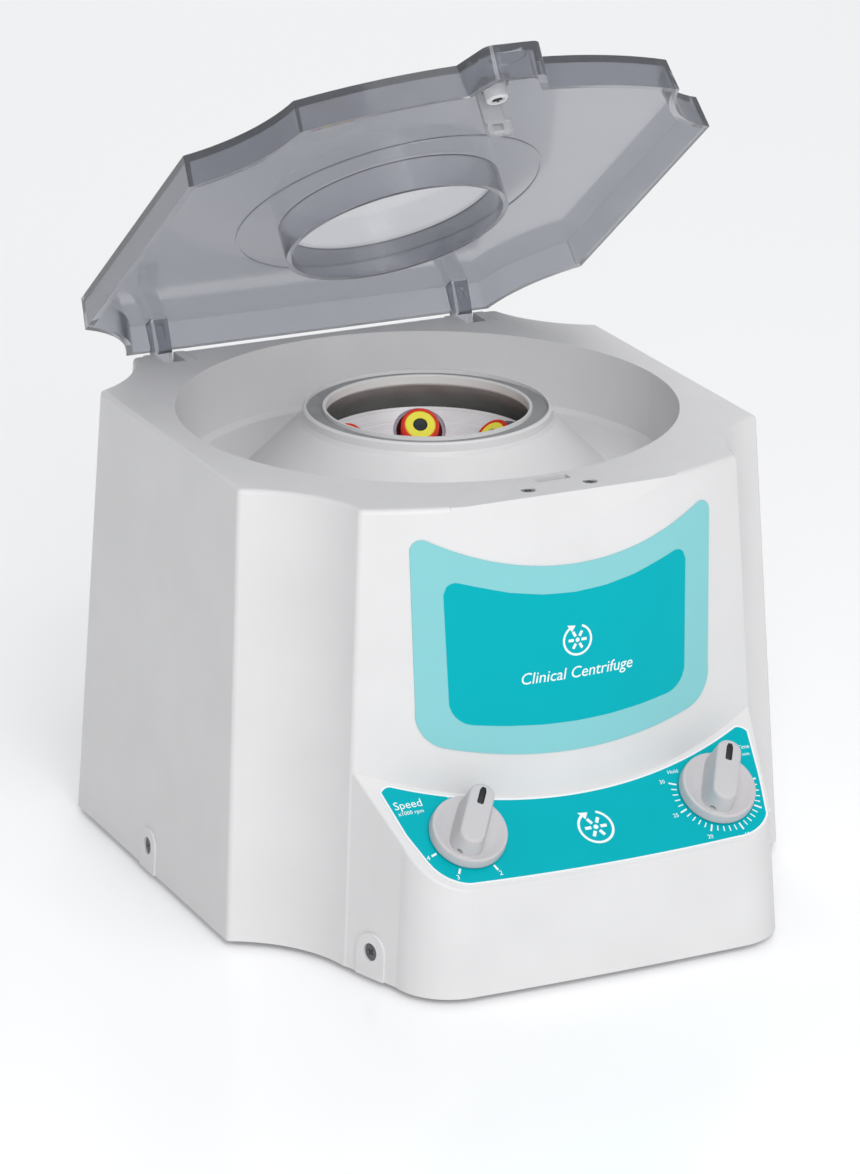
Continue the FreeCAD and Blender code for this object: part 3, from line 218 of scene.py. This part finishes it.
CASING = plastic("casing_plastic", (0.725, 0.72, 0.724), 0.42)
TEAL = film("panel_teal", (0.0, 0.415, 0.475))
PALE_TEAL = film("label_pale_teal", (0.245, 0.59, 0.62))
WHITE_FILM = film("film_white", (0.86, 0.87, 0.88))
INK_WHITE = film("print_white", (0.9, 0.92, 0.92), 0.4)
LID_CLEAR = lid_look()
HOOK_CLEAR = clear("hook_clear", (0.86, 0.87, 0.88), 0.16, weight=0.75)
KNOB = plastic("knob_grey", (0.565, 0.545, 0.56), 0.5, grain=(4600, 0.00005))
INLAY = plastic("inlay_black", (0.012, 0.012, 0.013), 0.3)
SEAL = rubber("seal_rubber", (0.31, 0.31, 0.315), 0.62)
FOOT = rubber("foot_rubber", (0.02, 0.02, 0.021))
CHAMBER = plated("chamber_paint", (0.5, 0.505, 0.495), 0.5, metallic=0.25)
ROTOR_METAL = brushed("rotor_aluminium", (0.92, 0.92, 0.93), 0.34, metallic=0.4)
# The sleeves' dark grey-purple metal is painted shade for the deep mouth around each tube, seen on
# the flange ring.
SLEEVE = plated("sleeve_anodised", (0.36, 0.34, 0.39), 0.4)
CAP_RED = plastic("cap_red", (0.78, 0.03, 0.012), 0.35)
CAP_YELLOW = plastic("cap_yellow", (0.93, 0.86, 0.08), 0.4)
STOPPER = rubber("stopper_dark", (0.03, 0.036, 0.042), 0.55)
GLASS = clear("tube_glass", (0.94, 0.96, 0.97), 0.02, 1.5)
STEEL = plated("plain_steel", (0.5, 0.51, 0.53))
DARK_STEEL = plated("dark_steel", (0.16, 0.16, 0.17), 0.42)
SCREW_WHITE = plastic("screw_white", (0.78, 0.78, 0.79), 0.35)
SHEET_STEEL = plated("zinc_sheet", (0.55, 0.56, 0.58), 0.45)
PAINTED = plated("painted_steel", (0.07, 0.07, 0.075), 0.5, metallic=0.2)
LAMINATION = plated("lamination", (0.16, 0.14, 0.13), 0.55)
CARBON = rubber("carbon", (0.02, 0.02, 0.02), 0.8)
BOARD = film("board_green", (0.015, 0.11, 0.04), 0.4)
BLACK_PLASTIC = plastic("black_plastic", (0.018, 0.018, 0.02), 0.5)
SCREW_STEEL = plated("screw_steel", (0.34, 0.34, 0.35), 0.38)
BRASS = plated("brass", (0.72, 0.52, 0.2), 0.3)

LOOK_OF = {
    "casing_shell": CASING, "base_plate": SHEET_STEEL, "rubber_feet": FOOT,
    "casing_screws": DARK_STEEL, "front_label": PALE_TEAL, "panel_film": WHITE_FILM,
    "chamber_bowl": CHAMBER, "collar_seal": SEAL, "hinge_brackets": CASING, "hinge_pins": STEEL,
    "lock_frame": STEEL, "lock_screws": DARK_STEEL, "lock_solenoid": BLACK_PLASTIC,
    "lid_switch": BLACK_PLASTIC, "motor_can": PAINTED, "motor_top_bell": STEEL,
    "motor_plate": SHEET_STEEL, "motor_stator": LAMINATION, "motor_bearings": STEEL,
    "carbon_brushes": CARBON, "brush_holders": BLACK_PLASTIC, "rubber_mounts": FOOT,
    "bowl_posts": STEEL, "control_board": BOARD, "speed_control": STEEL,
    "timer_mechanism": BLACK_PLASTIC, "power_inlet": BLACK_PLASTIC, "inlet_pins": BRASS,
    "fuse_holder": BLACK_PLASTIC, "lid_shell": LID_CLEAR, "lid_hook": HOOK_CLEAR,
    "hook_screw": SCREW_WHITE, "hook_washer": STEEL, "rotor": ROTOR_METAL, "rotor_nut": STEEL,
    "tube_sleeves": SLEEVE, "cap_rings": CAP_YELLOW, "cap_stoppers": STOPPER,
    "motor_armature": LAMINATION, "motor_shaft": STEEL, "speed_knob": KNOB, "timer_knob": KNOB,
    "speed_pointer": INLAY, "timer_pointer": INLAY, "speed_spindle": STEEL,
    "timer_spindle": STEEL, "lock_bolt": STEEL, "switch_button": BLACK_PLASTIC,
}
for number in range(1, 7):
    LOOK_OF[f"glass_tube_{number}"] = GLASS
    LOOK_OF[f"tube_cap_{number}"] = CAP_RED
for name, node in NODES.items():
    node.data.materials.clear()
    node.data.materials.append(LOOK_OF[name])


def soften(name, width, segments=2, angle=35):
    """Rounds the sharp edges of a CAD node with modifiers only."""
    node = NODES[name]
    weld = node.modifiers.new("weld", "WELD")
    weld.merge_threshold = 0.000004
    bevel = node.modifiers.new("bevel", "BEVEL")
    bevel.width = width
    bevel.segments = segments
    bevel.limit_method = "ANGLE"
    bevel.angle_limit = math.radians(angle)
    bevel.use_clamp_overlap = True
    node.modifiers.new("normals", "WEIGHTED_NORMAL").keep_sharp = False


# ------------------------------------------------------------------ mesh helpers
def piece(name, mesh_data, look, body, smooth=True):
    made = bpy.data.objects.new(name, mesh_data)
    bpy.context.scene.collection.objects.link(made)
    made.data.materials.clear()
    made.data.materials.append(look)
    for polygon in made.data.polygons:
        polygon.use_smooth = smooth
    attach(made, body)
    return made


def mesh_of(name, points, faces):
    made = bpy.data.meshes.new(name)
    made.from_pydata([tuple(p) for p in points], [], faces)
    made.update()
    return made


def cleaned(mesh_data, merge=0.000002):
    work = bmesh.new()
    work.from_mesh(mesh_data)
    bmesh.ops.remove_doubles(work, verts=work.verts, dist=merge)
    bmesh.ops.dissolve_degenerate(work, dist=merge, edges=work.edges)
    bmesh.ops.recalc_face_normals(work, faces=work.faces)
    work.to_mesh(mesh_data)
    work.free()
    mesh_data.update()
    return mesh_data


def turned(profile, count=64):
    """Points and faces of a closed surface of revolution about Z, where the profile ends."""
    points, faces = [], []
    for r, z in profile:
        for i in range(count):
            angle = math.tau * i / count
            points.append((r * math.cos(angle), r * math.sin(angle), z))
    for k in range(len(profile) - 1):
        for i in range(count):
            j = (i + 1) % count
            faces.append((k * count + i, k * count + j, (k + 1) * count + j, (k + 1) * count + i))
    return points, faces


def stacked(rings):
    """Points and faces of a closed skin over rings of equal length, capped at both ends."""
    size = len(rings[0])
    points = [p for ring in rings for p in ring]
    faces = []
    for k in range(len(rings) - 1):
        for i in range(size):
            j = (i + 1) % size
            faces.append((k * size + i, k * size + j, (k + 1) * size + j, (k + 1) * size + i))
    faces.append(tuple(range(size - 1, -1, -1)))
    faces.append(tuple(range((len(rings) - 1) * size, len(rings) * size)))
    return points, faces


def merged(parts):
    points, faces = [], []
    for part_points, part_faces in parts:
        start = len(points)
        points += [tuple(p) for p in part_points]
        faces += [tuple(i + start for i in face) for face in part_faces]
    return points, faces


def applied(made):
    """The object's mesh with its modifiers worked in, as new mesh data."""
    graph = bpy.context.evaluated_depsgraph_get()
    result = bpy.data.meshes.new_from_object(made.evaluated_get(graph))
    bpy.data.objects.remove(made)
    return result


def loose(name, points, faces):
    made = bpy.data.objects.new(name, cleaned(mesh_of(name, points, faces)))
    bpy.context.scene.collection.objects.link(made)
    return made


def cut_away(base, tool):
    """base's mesh less tool's, worked out exactly."""
    bpy.context.view_layer.update()
    change = base.modifiers.new("cut", "BOOLEAN")
    change.object = tool
    change.operation = "DIFFERENCE"
    change.solver = "EXACT"
    result = applied(base)
    bpy.data.objects.remove(tool)
    return result


def rounded_corners(corners, steps=8):
    """Outline from (x, y, radius) corners, each one an arc."""
    outline = []
    count = len(corners)
    for i in range(count):
        here = Vector(corners[i][:2])
        before = Vector(corners[i - 1][:2])
        after = Vector(corners[(i + 1) % count][:2])
        radius = corners[i][2]
        a, b = (before - here).normalized(), (after - here).normalized()
        half = math.acos(max(-1, min(1, a.dot(b)))) / 2
        if radius <= 0 or half > math.radians(88):
            outline.append(here)
            continue
        reach = min(radius / math.tan(half), 0.49 * (before - here).length,
                    0.49 * (after - here).length)
        radius = reach * math.tan(half)
        centre = here + (a + b).normalized() * (radius / math.sin(half))
        start, end = here + a * reach - centre, here + b * reach - centre
        turn = start.angle_signed(end)
        for k in range(steps + 1):
            angle = -turn * k / steps
            outline.append(centre + Matrix.Rotation(angle, 2) @ start)
    return outline


def offset_outline(outline, distance):
    """Moves a closed outline inwards by a distance, point by point."""
    count = len(outline)
    area = sum(outline[i - 1].x * outline[i].y - outline[i].x * outline[i - 1].y
               for i in range(count))
    side = 1 if area > 0 else -1
    moved = []
    for i in range(count):
        along = (outline[(i + 1) % count] - outline[i - 1]).normalized()
        moved.append(outline[i] + Vector((-along.y, along.x)) * distance * side)
    return moved


def scan(outline, columns, rows):
    """Grid of points and faces that fills an outline, column by column."""
    xs = sorted(p.x for p in outline)
    low_x, high_x = xs[0] + 1e-5, xs[-1] - 1e-5
    grid = []
    for c in range(columns + 1):
        x = low_x + (high_x - low_x) * c / columns
        crossings = []
        for i, q in enumerate(outline):
            p = outline[i - 1]
            if (p.x - x) * (q.x - x) <= 0 and abs(p.x - q.x) > 1e-9:
                crossings.append(p.y + (q.y - p.y) * (x - p.x) / (q.x - p.x))
        low, high = min(crossings), max(crossings)
        grid.append([(x, low + (high - low) * r / rows) for r in range(rows + 1)])
    points = [p for column in grid for p in column]
    step = rows + 1
    faces = [(c * step + r, (c + 1) * step + r, (c + 1) * step + r + 1, c * step + r + 1)
             for c in range(columns) for r in range(rows)]
    return points, faces


def text_outline(words, size, align="CENTER", shear=0.0, spacing=1.0):
    """Flat mesh of the words, as 2D points and faces."""
    curve = bpy.data.curves.new("words", "FONT")
    curve.body = words
    curve.size = size
    curve.align_x = align
    curve.align_y = "CENTER"
    curve.shear = shear
    curve.space_character = spacing
    curve.resolution_u = 3
    made = bpy.data.objects.new("words", curve)
    bpy.context.scene.collection.objects.link(made)
    bpy.context.view_layer.update()
    flat = applied(made)
    points = [(v.co.x, v.co.y) for v in flat.vertices]
    faces = [tuple(p.vertices) for p in flat.polygons]
    bpy.data.meshes.remove(flat)
    bpy.data.curves.remove(curve)
    return points, faces


def shifted_flat(shape, x, y, turn=0.0):
    points, faces = shape
    c, s = math.cos(turn), math.sin(turn)
    return [(x + c * p[0] - s * p[1], y + s * p[0] + c * p[1]) for p in points], faces


def bar_flat(x0, y0, x1, y1, width):
    """A straight printed stroke between two points."""
    along = Vector((x1 - x0, y1 - y0)).normalized()
    side = Vector((-along.y, along.x)) * width / 2
    start, end = Vector((x0, y0)), Vector((x1, y1))
    return [start - side, end - side, end + side, start + side], [(0, 1, 2, 3)]


def ring_flat(x, y, inner, outer, start=0.0, end=math.tau, count=48):
    points, faces = [], []
    for i in range(count + 1):
        angle = start + (end - start) * i / count
        for r in (inner, outer):
            points.append((x + r * math.sin(angle), y + r * math.cos(angle)))
    for i in range(count):
        faces.append((2 * i, 2 * i + 2, 2 * i + 3, 2 * i + 1))
    return points, faces


def printed(name, shapes, surface, thickness, look):
    """Ink or film with a real thickness: flat shapes laid on a surface by surface(x, y, height)."""
    points, faces = merged([([(p[0], p[1], 0) for p in ps], fs) for ps, fs in shapes])
    work = bmesh.new()
    work.from_mesh(mesh_of(name, points, faces))
    bmesh.ops.remove_doubles(work, verts=work.verts, dist=0.000001)
    bmesh.ops.recalc_face_normals(work, faces=work.faces)
    if sum(f.normal.z * f.calc_area() for f in work.faces) < 0:
        bmesh.ops.reverse_faces(work, faces=work.faces)
    top = list(work.faces)
    made = bmesh.ops.extrude_face_region(work, geom=top)
    for vert in (g for g in made["geom"] if isinstance(g, bmesh.types.BMVert)):
        vert.co.z = 1
    for vert in work.verts:
        vert.co = surface(vert.co.x, vert.co.y, vert.co.z * thickness)
    bmesh.ops.recalc_face_normals(work, faces=work.faces)
    result = bpy.data.meshes.new(name)
    work.to_mesh(result)
    work.free()
    return piece(name, result, look, BASE, smooth=False)


# ------------------------------------------------------------------ the control panel
SPEED_U, TIMER_U, DIAL_V, FILM = -58 * MM, 62.2 * MM, 27.8 * MM, 0.6 * MM
ACROSS = Vector((1, 0, 0))
OUTWARD = -Vector(JOINTS["speed_turn"]["axis"]).normalized()
UPWARD = OUTWARD.cross(ACROSS).normalized()
PANEL_ZERO = Vector(JOINTS["speed_turn"]["pos_m"]) - ACROSS * SPEED_U - UPWARD * DIAL_V


def on_panel(u, v, height=0.0):
    return PANEL_ZERO + ACROSS * u + UPWARD * v + OUTWARD * height


def over_film(u, v, height):
    return on_panel(u, v, FILM + height)


def film_outline():
    """The film's outer edge in panel coordinates, read from its CAD mesh."""
    data = NODES["panel_film"].data
    work = bmesh.new()
    work.from_mesh(data)
    bmesh.ops.remove_doubles(work, verts=work.verts, dist=0.000004)
    work.faces.ensure_lookup_table()
    top = {f for f in work.faces if f.normal.dot(OUTWARD) > 0.99}
    edges = [e for e in work.edges if sum(f in top for f in e.link_faces) == 1]
    links = {}
    for edge in edges:
        a, b = edge.verts
        links.setdefault(a.index, []).append(b.index)
        links.setdefault(b.index, []).append(a.index)
    work.verts.ensure_lookup_table()
    loops, seen = [], set()
    for first in sorted(links):
        if first in seen:
            continue
        loop, here, last = [], first, None
        while here not in seen:
            seen.add(here)
            loop.append(here)
            onward = [n for n in links[here] if n != last and n not in seen]
            last = here
            here = onward[0] if onward else first
        loops.append(loop)
    longest = max(loops, key=lambda loop: sum(
        (work.verts[loop[i]].co - work.verts[loop[i - 1]].co).length for i in range(len(loop))))
    outline = []
    for index in longest:
        offset = work.verts[index].co - PANEL_ZERO
        outline.append(Vector((offset.dot(ACROSS), offset.dot(UPWARD))))
    work.free()
    return outline


def clock(u, v, radius, degrees):
    angle = math.radians(degrees)
    return u + radius * math.sin(angle), v + radius * math.cos(angle)


def dial_tick(u, v, degrees, inner, outer, width):
    return bar_flat(*clock(u, v, inner, degrees), *clock(u, v, outer, degrees), width)


# clock angles of the dial marks, in degrees
SPEED_TICKS = (62, 158.5, 210.5, 250)
SPEED_NUMERALS = (("2", 158.5, 22.3), ("3", 210.5, 22.3), ("4", 250, 22.3), ("6", 357, 20.8))
TIMER_ZERO, TIMER_STEP = 39.6, 8.42


def panel_prints():
    """White ticks, numerals, captions and the rotor sign."""
    shapes = [dial_tick(SPEED_U, DIAL_V, at, 17.7 * MM, 20.4 * MM, 0.95 * MM) for at in SPEED_TICKS]
    for numeral, at, radius in SPEED_NUMERALS:
        x, y = clock(SPEED_U, DIAL_V, radius * MM, at)
        shapes.append(shifted_flat(text_outline(numeral, 3.2 * MM), x, y))
    for minute in range(31):
        at = TIMER_ZERO + TIMER_STEP * minute
        long_one = minute % 5 == 0
        outer = 21.4 * MM if long_one else 20.4 * MM
        shapes.append(dial_tick(TIMER_U, DIAL_V, at, 17.8 * MM, outer,
                                (0.75 if long_one else 0.5) * MM))
        if long_one and minute > 0:
            x, y = clock(TIMER_U, DIAL_V, 24.3 * MM, at)
            shapes.append(shifted_flat(text_outline(str(minute), 2.7 * MM), x, y))
    words = [("Speed", 5.5, -78.3, 47.5), ("x1000 rpm", 2.7, -78.3, 43.5),
             ("Hold", 2.6, 46.6, 41.2), ("Time", 2.8, 84.2, 47.4), ("min", 2.4, 83.9, 43.7)]
    for text, size, u, v in words:
        shapes.append(shifted_flat(text_outline(text, size * MM), u * MM, v * MM))
    return shapes + rotor_sign(1 * MM, 21 * MM, 8.6 * MM)


def rotor_sign(x, y, size):
    """Generic sign: six tubes in a ring with a turning arrow around them."""
    shapes = [ring_flat(x, y, 0.0001 * size, 0.13 * size, count=24)]
    for number in range(6):
        angle = math.radians(30 + 60 * number)
        shapes.append(bar_flat(x + 0.26 * size * math.sin(angle), y + 0.26 * size * math.cos(angle),
                               x + 0.6 * size * math.sin(angle), y + 0.6 * size * math.cos(angle),
                               0.17 * size))
    shapes.append(ring_flat(x, y, 0.84 * size, 0.97 * size, math.radians(20), math.radians(325)))
    tip, wide = math.radians(352), 0.26 * size
    root = math.radians(325)
    rim = 0.905 * size
    a = (x + (rim - wide) * math.sin(root), y + (rim - wide) * math.cos(root))
    b = (x + (rim + wide) * math.sin(root), y + (rim + wide) * math.cos(root))
    c = (x + rim * math.sin(tip), y + rim * math.cos(tip))
    shapes.append(([a, b, c], [(0, 1, 2)]))
    return shapes


FILM_EDGE = film_outline()
WHITE_MARGIN = 0.85 * MM
TEAL_THICK, INK_THICK = 0.06 * MM, 0.05 * MM
printed("panel_teal", [scan(offset_outline(FILM_EDGE, WHITE_MARGIN), 150, 2)], over_film,
        TEAL_THICK, TEAL)
printed("panel_print", panel_prints(), lambda u, v, h: over_film(u, v, TEAL_THICK + h), INK_THICK,
        INK_WHITE)


# ------------------------------------------------------------------ the front label
LABEL_TREE = BVHTree.FromPolygons([v.co for v in NODES["front_label"].data.vertices],
                                  [tuple(p.vertices) for p in NODES["front_label"].data.polygons])
LABEL_LOW, LABEL_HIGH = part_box("front_label")


def over_label(x, z, height):
    """A point over the front label's curved face, height in front of it."""
    hit, normal, _, _ = LABEL_TREE.ray_cast(Vector((x, LABEL_LOW.y - 0.05, z)), Vector((0, 1, 0)))
    if normal.y > 0:
        normal = -normal
    return hit + normal * height


def label_inner():
    """The darker field inside the label: two bowed edges between rounded corners."""
    middle = (LABEL_LOW.x + LABEL_HIGH.x) / 2 / MM
    top_z, foot_z = 174.9, 110.2
    corners = [(middle - 57.2, foot_z + 0.8, 12)]
    corners += [(middle + x, 106.2 + 3.2 * (x / 44) ** 2, 0) for x in (-33, -16, 0, 16, 33)]
    corners += [(middle + 56.2, foot_z + 0.8, 12), (middle + 57.6, top_z, 5)]
    corners += [(middle + x, 163.6 + 9.9 * (x / 52) ** 2, 0)
                for x in (44, 30, 15, 0, -15, -30, -44)]
    corners += [(middle - 58.6, top_z, 5)]
    return rounded_corners([(x * MM, z * MM, r * MM) for x, z, r in corners])


FIELD_THICK = 0.07 * MM
WORDS_X, WORDS_Z, SIGN_Z = 1.2 * MM, 127.7 * MM, 142.2 * MM
printed("label_field", [scan(label_inner(), 90, 12)], over_label, FIELD_THICK, TEAL)
label_words = [shifted_flat(text_outline("Clinical Centrifuge", 7.2 * MM, shear=0.18), WORDS_X,
                            WORDS_Z)]
label_words += rotor_sign(WORDS_X, SIGN_Z, 7.2 * MM)
printed("label_print", label_words, lambda x, z, h: over_label(x, z, h + FIELD_THICK), INK_THICK,
        INK_WHITE)


# ------------------------------------------------------------------ knobs
def stadium(half, low, high, z, count=12):
    """Ring around a bar that runs along +Y, with round ends."""
    ring = []
    for i in range(count + 1):
        angle = math.pi * i / count
        ring.append((half * math.cos(angle), high - half + half * math.sin(angle), z))
    for i in range(count + 1):
        angle = math.pi + math.pi * i / count
        ring.append((half * math.cos(angle), low + half + half * math.sin(angle), z))
    return ring


KNOB_TOP = 17.9  # mm above the panel, like all the lengths below
SKIRT = [(0, 0.9), (16.5, 0.9), (17.1, 1.5), (17.15, 2.6), (16.75, 6.0), (16.35, 6.6),
         (15.8, 6.75), (14.4, 6.2), (12, 5.4), (9, 4.9), (0, 4.7)]  # radius, height
# half width, tail, nose and height of the bar's outline at each level
BAR = [(7.7, -15.5, 16.8, 3.2), (7.4, -15.4, 16.75, 5.0), (5.6, -14.9, 16.5, KNOB_TOP - 1.2),
       (5.4, -14.6, 16.3, KNOB_TOP - 0.5), (5.0, -14.2, 15.9, KNOB_TOP - 0.1),
       (4.5, -13.7, 15.4, KNOB_TOP)]
# half width, place along the bar and height of the black strip, from the top down the nose
STRIP = [(1.0, 5.4, KNOB_TOP - 0.02), (1.5, 6.1, KNOB_TOP - 0.02), (1.5, 12.4, KNOB_TOP - 0.02),
         (1.0, 14.0, KNOB_TOP - 0.06), (0.8, 15.3, KNOB_TOP - 0.4), (0.7, 16.05, KNOB_TOP - 1.2),
         (0.6, 16.5, KNOB_TOP - 3.2)]
HOLE_R, HOLE_DEPTH = 1.45, 9
HOLE_START = Vector((-2.2, -10.5, 8.2)) * MM
SET_SCREW = [(0, 0), (1.38, 0), (1.38, 1.2), (0.75, 1.4), (0.75, 0.6), (0, 0.6)]


def knob(name, joint, turn, body, replaced, inlay_name, inlay_replaced, screw_name):
    """Bar knob: a dished round skirt, a tall drafted bar, a black pointer and a set screw."""
    pointer = (ACROSS * math.sin(turn) + UPWARD * math.cos(turn)).normalized()
    side = pointer.cross(OUTWARD)
    place = Matrix((side, pointer, OUTWARD)).transposed().to_4x4()
    place.translation = Vector(JOINTS[joint]["pos_m"])
    skirt = turned(SKIRT, 96)
    bar = stacked([stadium(*level) for level in BAR])
    solid = loose("knob_solid", *merged([skirt, bar]))
    for vert in solid.data.vertices:
        vert.co *= MM
    remesh = solid.modifiers.new("remesh", "REMESH")
    remesh.mode = "VOXEL"
    remesh.voxel_size = 0.3 * MM
    remesh.use_smooth_shade = True
    smooth = solid.modifiers.new("smooth", "SMOOTH")
    smooth.factor = 0.5
    smooth.iterations = 3
    solid = bpy.data.objects.new("knob_smooth", applied(solid))
    bpy.context.scene.collection.objects.link(solid)
    hole = loose("knob_hole", *turned([(0, 0), (HOLE_R, 0), (HOLE_R, HOLE_DEPTH),
                                       (0, HOLE_DEPTH)], 24))
    aim = Matrix.Translation(HOLE_START) @ Matrix.Rotation(math.pi / 2, 4, "X")
    hole.matrix_world = aim @ Matrix.Scale(MM, 4)
    data = cut_away(solid, hole)
    data.transform(place)
    made = piece(name, data, KNOB, body)
    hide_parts(replaced)
    screw = cleaned(mesh_of(screw_name, *turned(SET_SCREW, 24)))
    screw.transform(place @ aim @ Matrix.Scale(MM, 4))
    # painted shade: the set screw takes the black plastic look so the hole in the knob's tail reads
    # dark
    piece(screw_name, screw, BLACK_PLASTIC, body)
    points, faces = [], []
    for half, y, z in STRIP:
        for lift in (0.16, -0.6):
            for x in (-half, half):
                points.append((x, y + (lift if y > 16 else 0), z + (0 if y > 16 else lift)))
    for k in range(len(STRIP) - 1):
        a, b = 4 * k, 4 * k + 4
        faces += [(a, a + 1, b + 1, b), (a + 2, b + 2, b + 3, a + 3), (a, b, b + 2, a + 2),
                  (a + 1, a + 3, b + 3, b + 1)]
    end = 4 * (len(STRIP) - 1)
    faces += [(0, 2, 3, 1), (end, end + 1, end + 3, end + 2)]
    strip = cleaned(mesh_of(inlay_name, points, faces))
    strip.transform(place @ Matrix.Scale(MM, 4))
    inlay = piece(inlay_name, strip, INLAY, body)
    edge = inlay.modifiers.new("bevel", "BEVEL")
    edge.width = 0.18 * MM
    edge.segments = 2
    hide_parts(inlay_replaced)


knob("speed_knob_moulding", "speed_turn", math.radians(33), "speed_dial", "speed_knob",
     "speed_inlay", "speed_pointer", "speed_set_screw")
knob("timer_knob_moulding", "timer_turn", math.radians(28), "timer_dial", "timer_knob",
     "timer_inlay", "timer_pointer", "timer_set_screw")


# ------------------------------------------------------------------ cross-recess screws
def islands(name):
    """The CAD node's separate solids: their welded vertices, and the one with most neighbours."""
    work = bmesh.new()
    work.from_mesh(NODES[name].data)
    bmesh.ops.remove_doubles(work, verts=work.verts, dist=0.000004)
    seen, found = set(), []
    for first in work.verts:
        if first in seen:
            continue
        seen.add(first)
        group, queue = [], [first]
        while queue:
            here = queue.pop()
            group.append(here)
            for edge in here.link_edges:
                other = edge.other_vert(here)
                if other not in seen:
                    seen.add(other)
                    queue.append(other)
        hub = max(group, key=lambda vert: len(vert.link_edges))
        found.append(([vert.co.copy() for vert in group], hub.co.copy()))
    work.free()
    return found


def crossed_screws(name, replaced, body, look, radius, outward=None):
    """The CAD screws with a cross recess cut into each head, and a black insert at its bottom as
    painted shade.
    """
    source = NODES[replaced]
    solid = bpy.data.objects.new(name + "_solid", cleaned(source.data.copy(), 0.000004))
    bpy.context.scene.collection.objects.link(solid)
    arm, half = 0.62 * radius, 0.15 * radius
    cross = [(half, half), (half, arm), (-half, arm), (-half, half), (-arm, half), (-arm, -half),
             (-half, -half), (-half, -arm), (half, -arm), (half, -half), (arm, -half), (arm, half)]
    for number, (points, hub) in enumerate(islands(replaced)):
        centre = sum(points, Vector()) / len(points)
        axis = (outward or hub - centre).normalized()
        top = max((p - centre).dot(axis) for p in points)
        tool = loose(f"{name}_recess_{number}", *stacked(
            [[(x * size, y * size, z) for x, y in cross]
             for z, size in ((-0.45 * radius, 0.6), (0.4 * radius, 1.1))]))
        frame_at = axis.to_track_quat("Z", "Y").to_matrix().to_4x4()
        frame_at.translation = centre + axis * top
        tool.matrix_world = frame_at @ Matrix.Rotation(0.5 + number, 4, "Z")
        # painted shade: a black plastic insert sits at the bottom of each cross recess
        shade = mesh_of(f"{name}_shade_{number}", *stacked(
            [[(x * size, y * size, z) for x, y in cross]
             for z, size in ((-0.5 * radius, 0.6), (-0.06 * radius, 0.88))]))
        shade.transform(tool.matrix_world)
        piece(f"{name}_shade_{number}", cleaned(shade), BLACK_PLASTIC, body, smooth=False)
        solid = bpy.data.objects.new(name + "_solid", cut_away(solid, tool))
        bpy.context.scene.collection.objects.link(solid)
    data = solid.data
    bpy.data.objects.remove(solid)
    made = piece(name, data, look, body, smooth=False)
    edge = made.modifiers.new("bevel", "BEVEL")
    edge.width = 0.12 * MM
    edge.segments = 2
    edge.limit_method = "ANGLE"
    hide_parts(replaced)


crossed_screws("crossed_casing_screws", "casing_screws", BASE, DARK_STEEL, 3.6 * MM)
crossed_screws("crossed_lock_screws", "lock_screws", BASE, SCREW_STEEL, 3.1 * MM,
               Vector((0, 0, 1)))
crossed_screws("crossed_hook_screw", "hook_screw", LID, SCREW_WHITE, 4 * MM,
               Vector((0, -math.sin(LID_OPEN), -math.cos(LID_OPEN))))

# ------------------------------------------------------------------ CAD nodes with softer edges
soften("lid_shell", 1.1 * MM, 3)
soften("lid_hook", 0.35 * MM)
for name in ("hinge_brackets", "power_inlet", "fuse_holder"):
    soften(name, 0.3 * MM)

# ------------------------------------------------------------------ floor, light, camera
floor_points = [(-12, -12, 0), (12, -12, 0), (12, 12, 0), (-12, 12, 0)]
floor = bpy.data.objects.new("floor", mesh_of("floor", floor_points, [(0, 1, 2, 3)]))
bpy.context.scene.collection.objects.link(floor)
floor_look = Look("floor_pale", (0.93, 0.93, 0.935), 0.22, specular=0.35)
floor_look.set("Emission Color", (1, 1, 1, 1))
floor_look.set("Emission Strength", 0.12)
floor.data.materials.append(floor_look.material)

world = bpy.data.worlds.new("studio")
world.use_nodes = True
world.node_tree.nodes["Background"].inputs["Color"].default_value = (0.97, 0.985, 1, 1)
world.node_tree.nodes["Background"].inputs["Strength"].default_value = 0.45
bpy.context.scene.world = world
bpy.context.scene.view_settings.view_transform = "Standard"


def soft_light(name, position, target, size, power):
    data = bpy.data.lights.new(name, "AREA")
    data.shape = "SQUARE"
    data.size = size
    data.energy = power
    made = bpy.data.objects.new(name, data)
    made.location = position
    made.rotation_euler = (Vector(target) - Vector(position)).to_track_quat("-Z", "Y").to_euler()
    bpy.context.scene.collection.objects.link(made)


soft_light("key_light", (-0.55, -2.2, 1.8), (0, 0, 0.12), 1.6, 38)
soft_light("low_light", (-0.42, -2.76, 1.0), (0, 0, 0.12), 1.6, 6)
soft_light("top_light", (0.4, -1.0, 2.4), (0, 0, 0.15), 1.2, 7)
soft_light("floor_light", (1.0, 2.6, 2.6), (1.0, 2.3, 0), 3.0, 42)

target = Vector((1.36, -0.65, 118.7)) * MM
camera_data = bpy.data.cameras.new("camera")
camera_data.lens = 157.58
camera_data.sensor_width = 36
camera_data.clip_start = 0.1
camera_data.clip_end = 50
camera = bpy.data.objects.new("camera", camera_data)
camera.location = Vector((-944.5, -1985.07, 897.09)) * MM
aim = (target - camera.location).to_track_quat("-Z", "Y")
roll = Quaternion((0, 0, 1), math.radians(0.25))
camera.rotation_euler = (aim @ roll).to_euler()
bpy.context.scene.collection.objects.link(camera)
bpy.context.scene.camera = camera
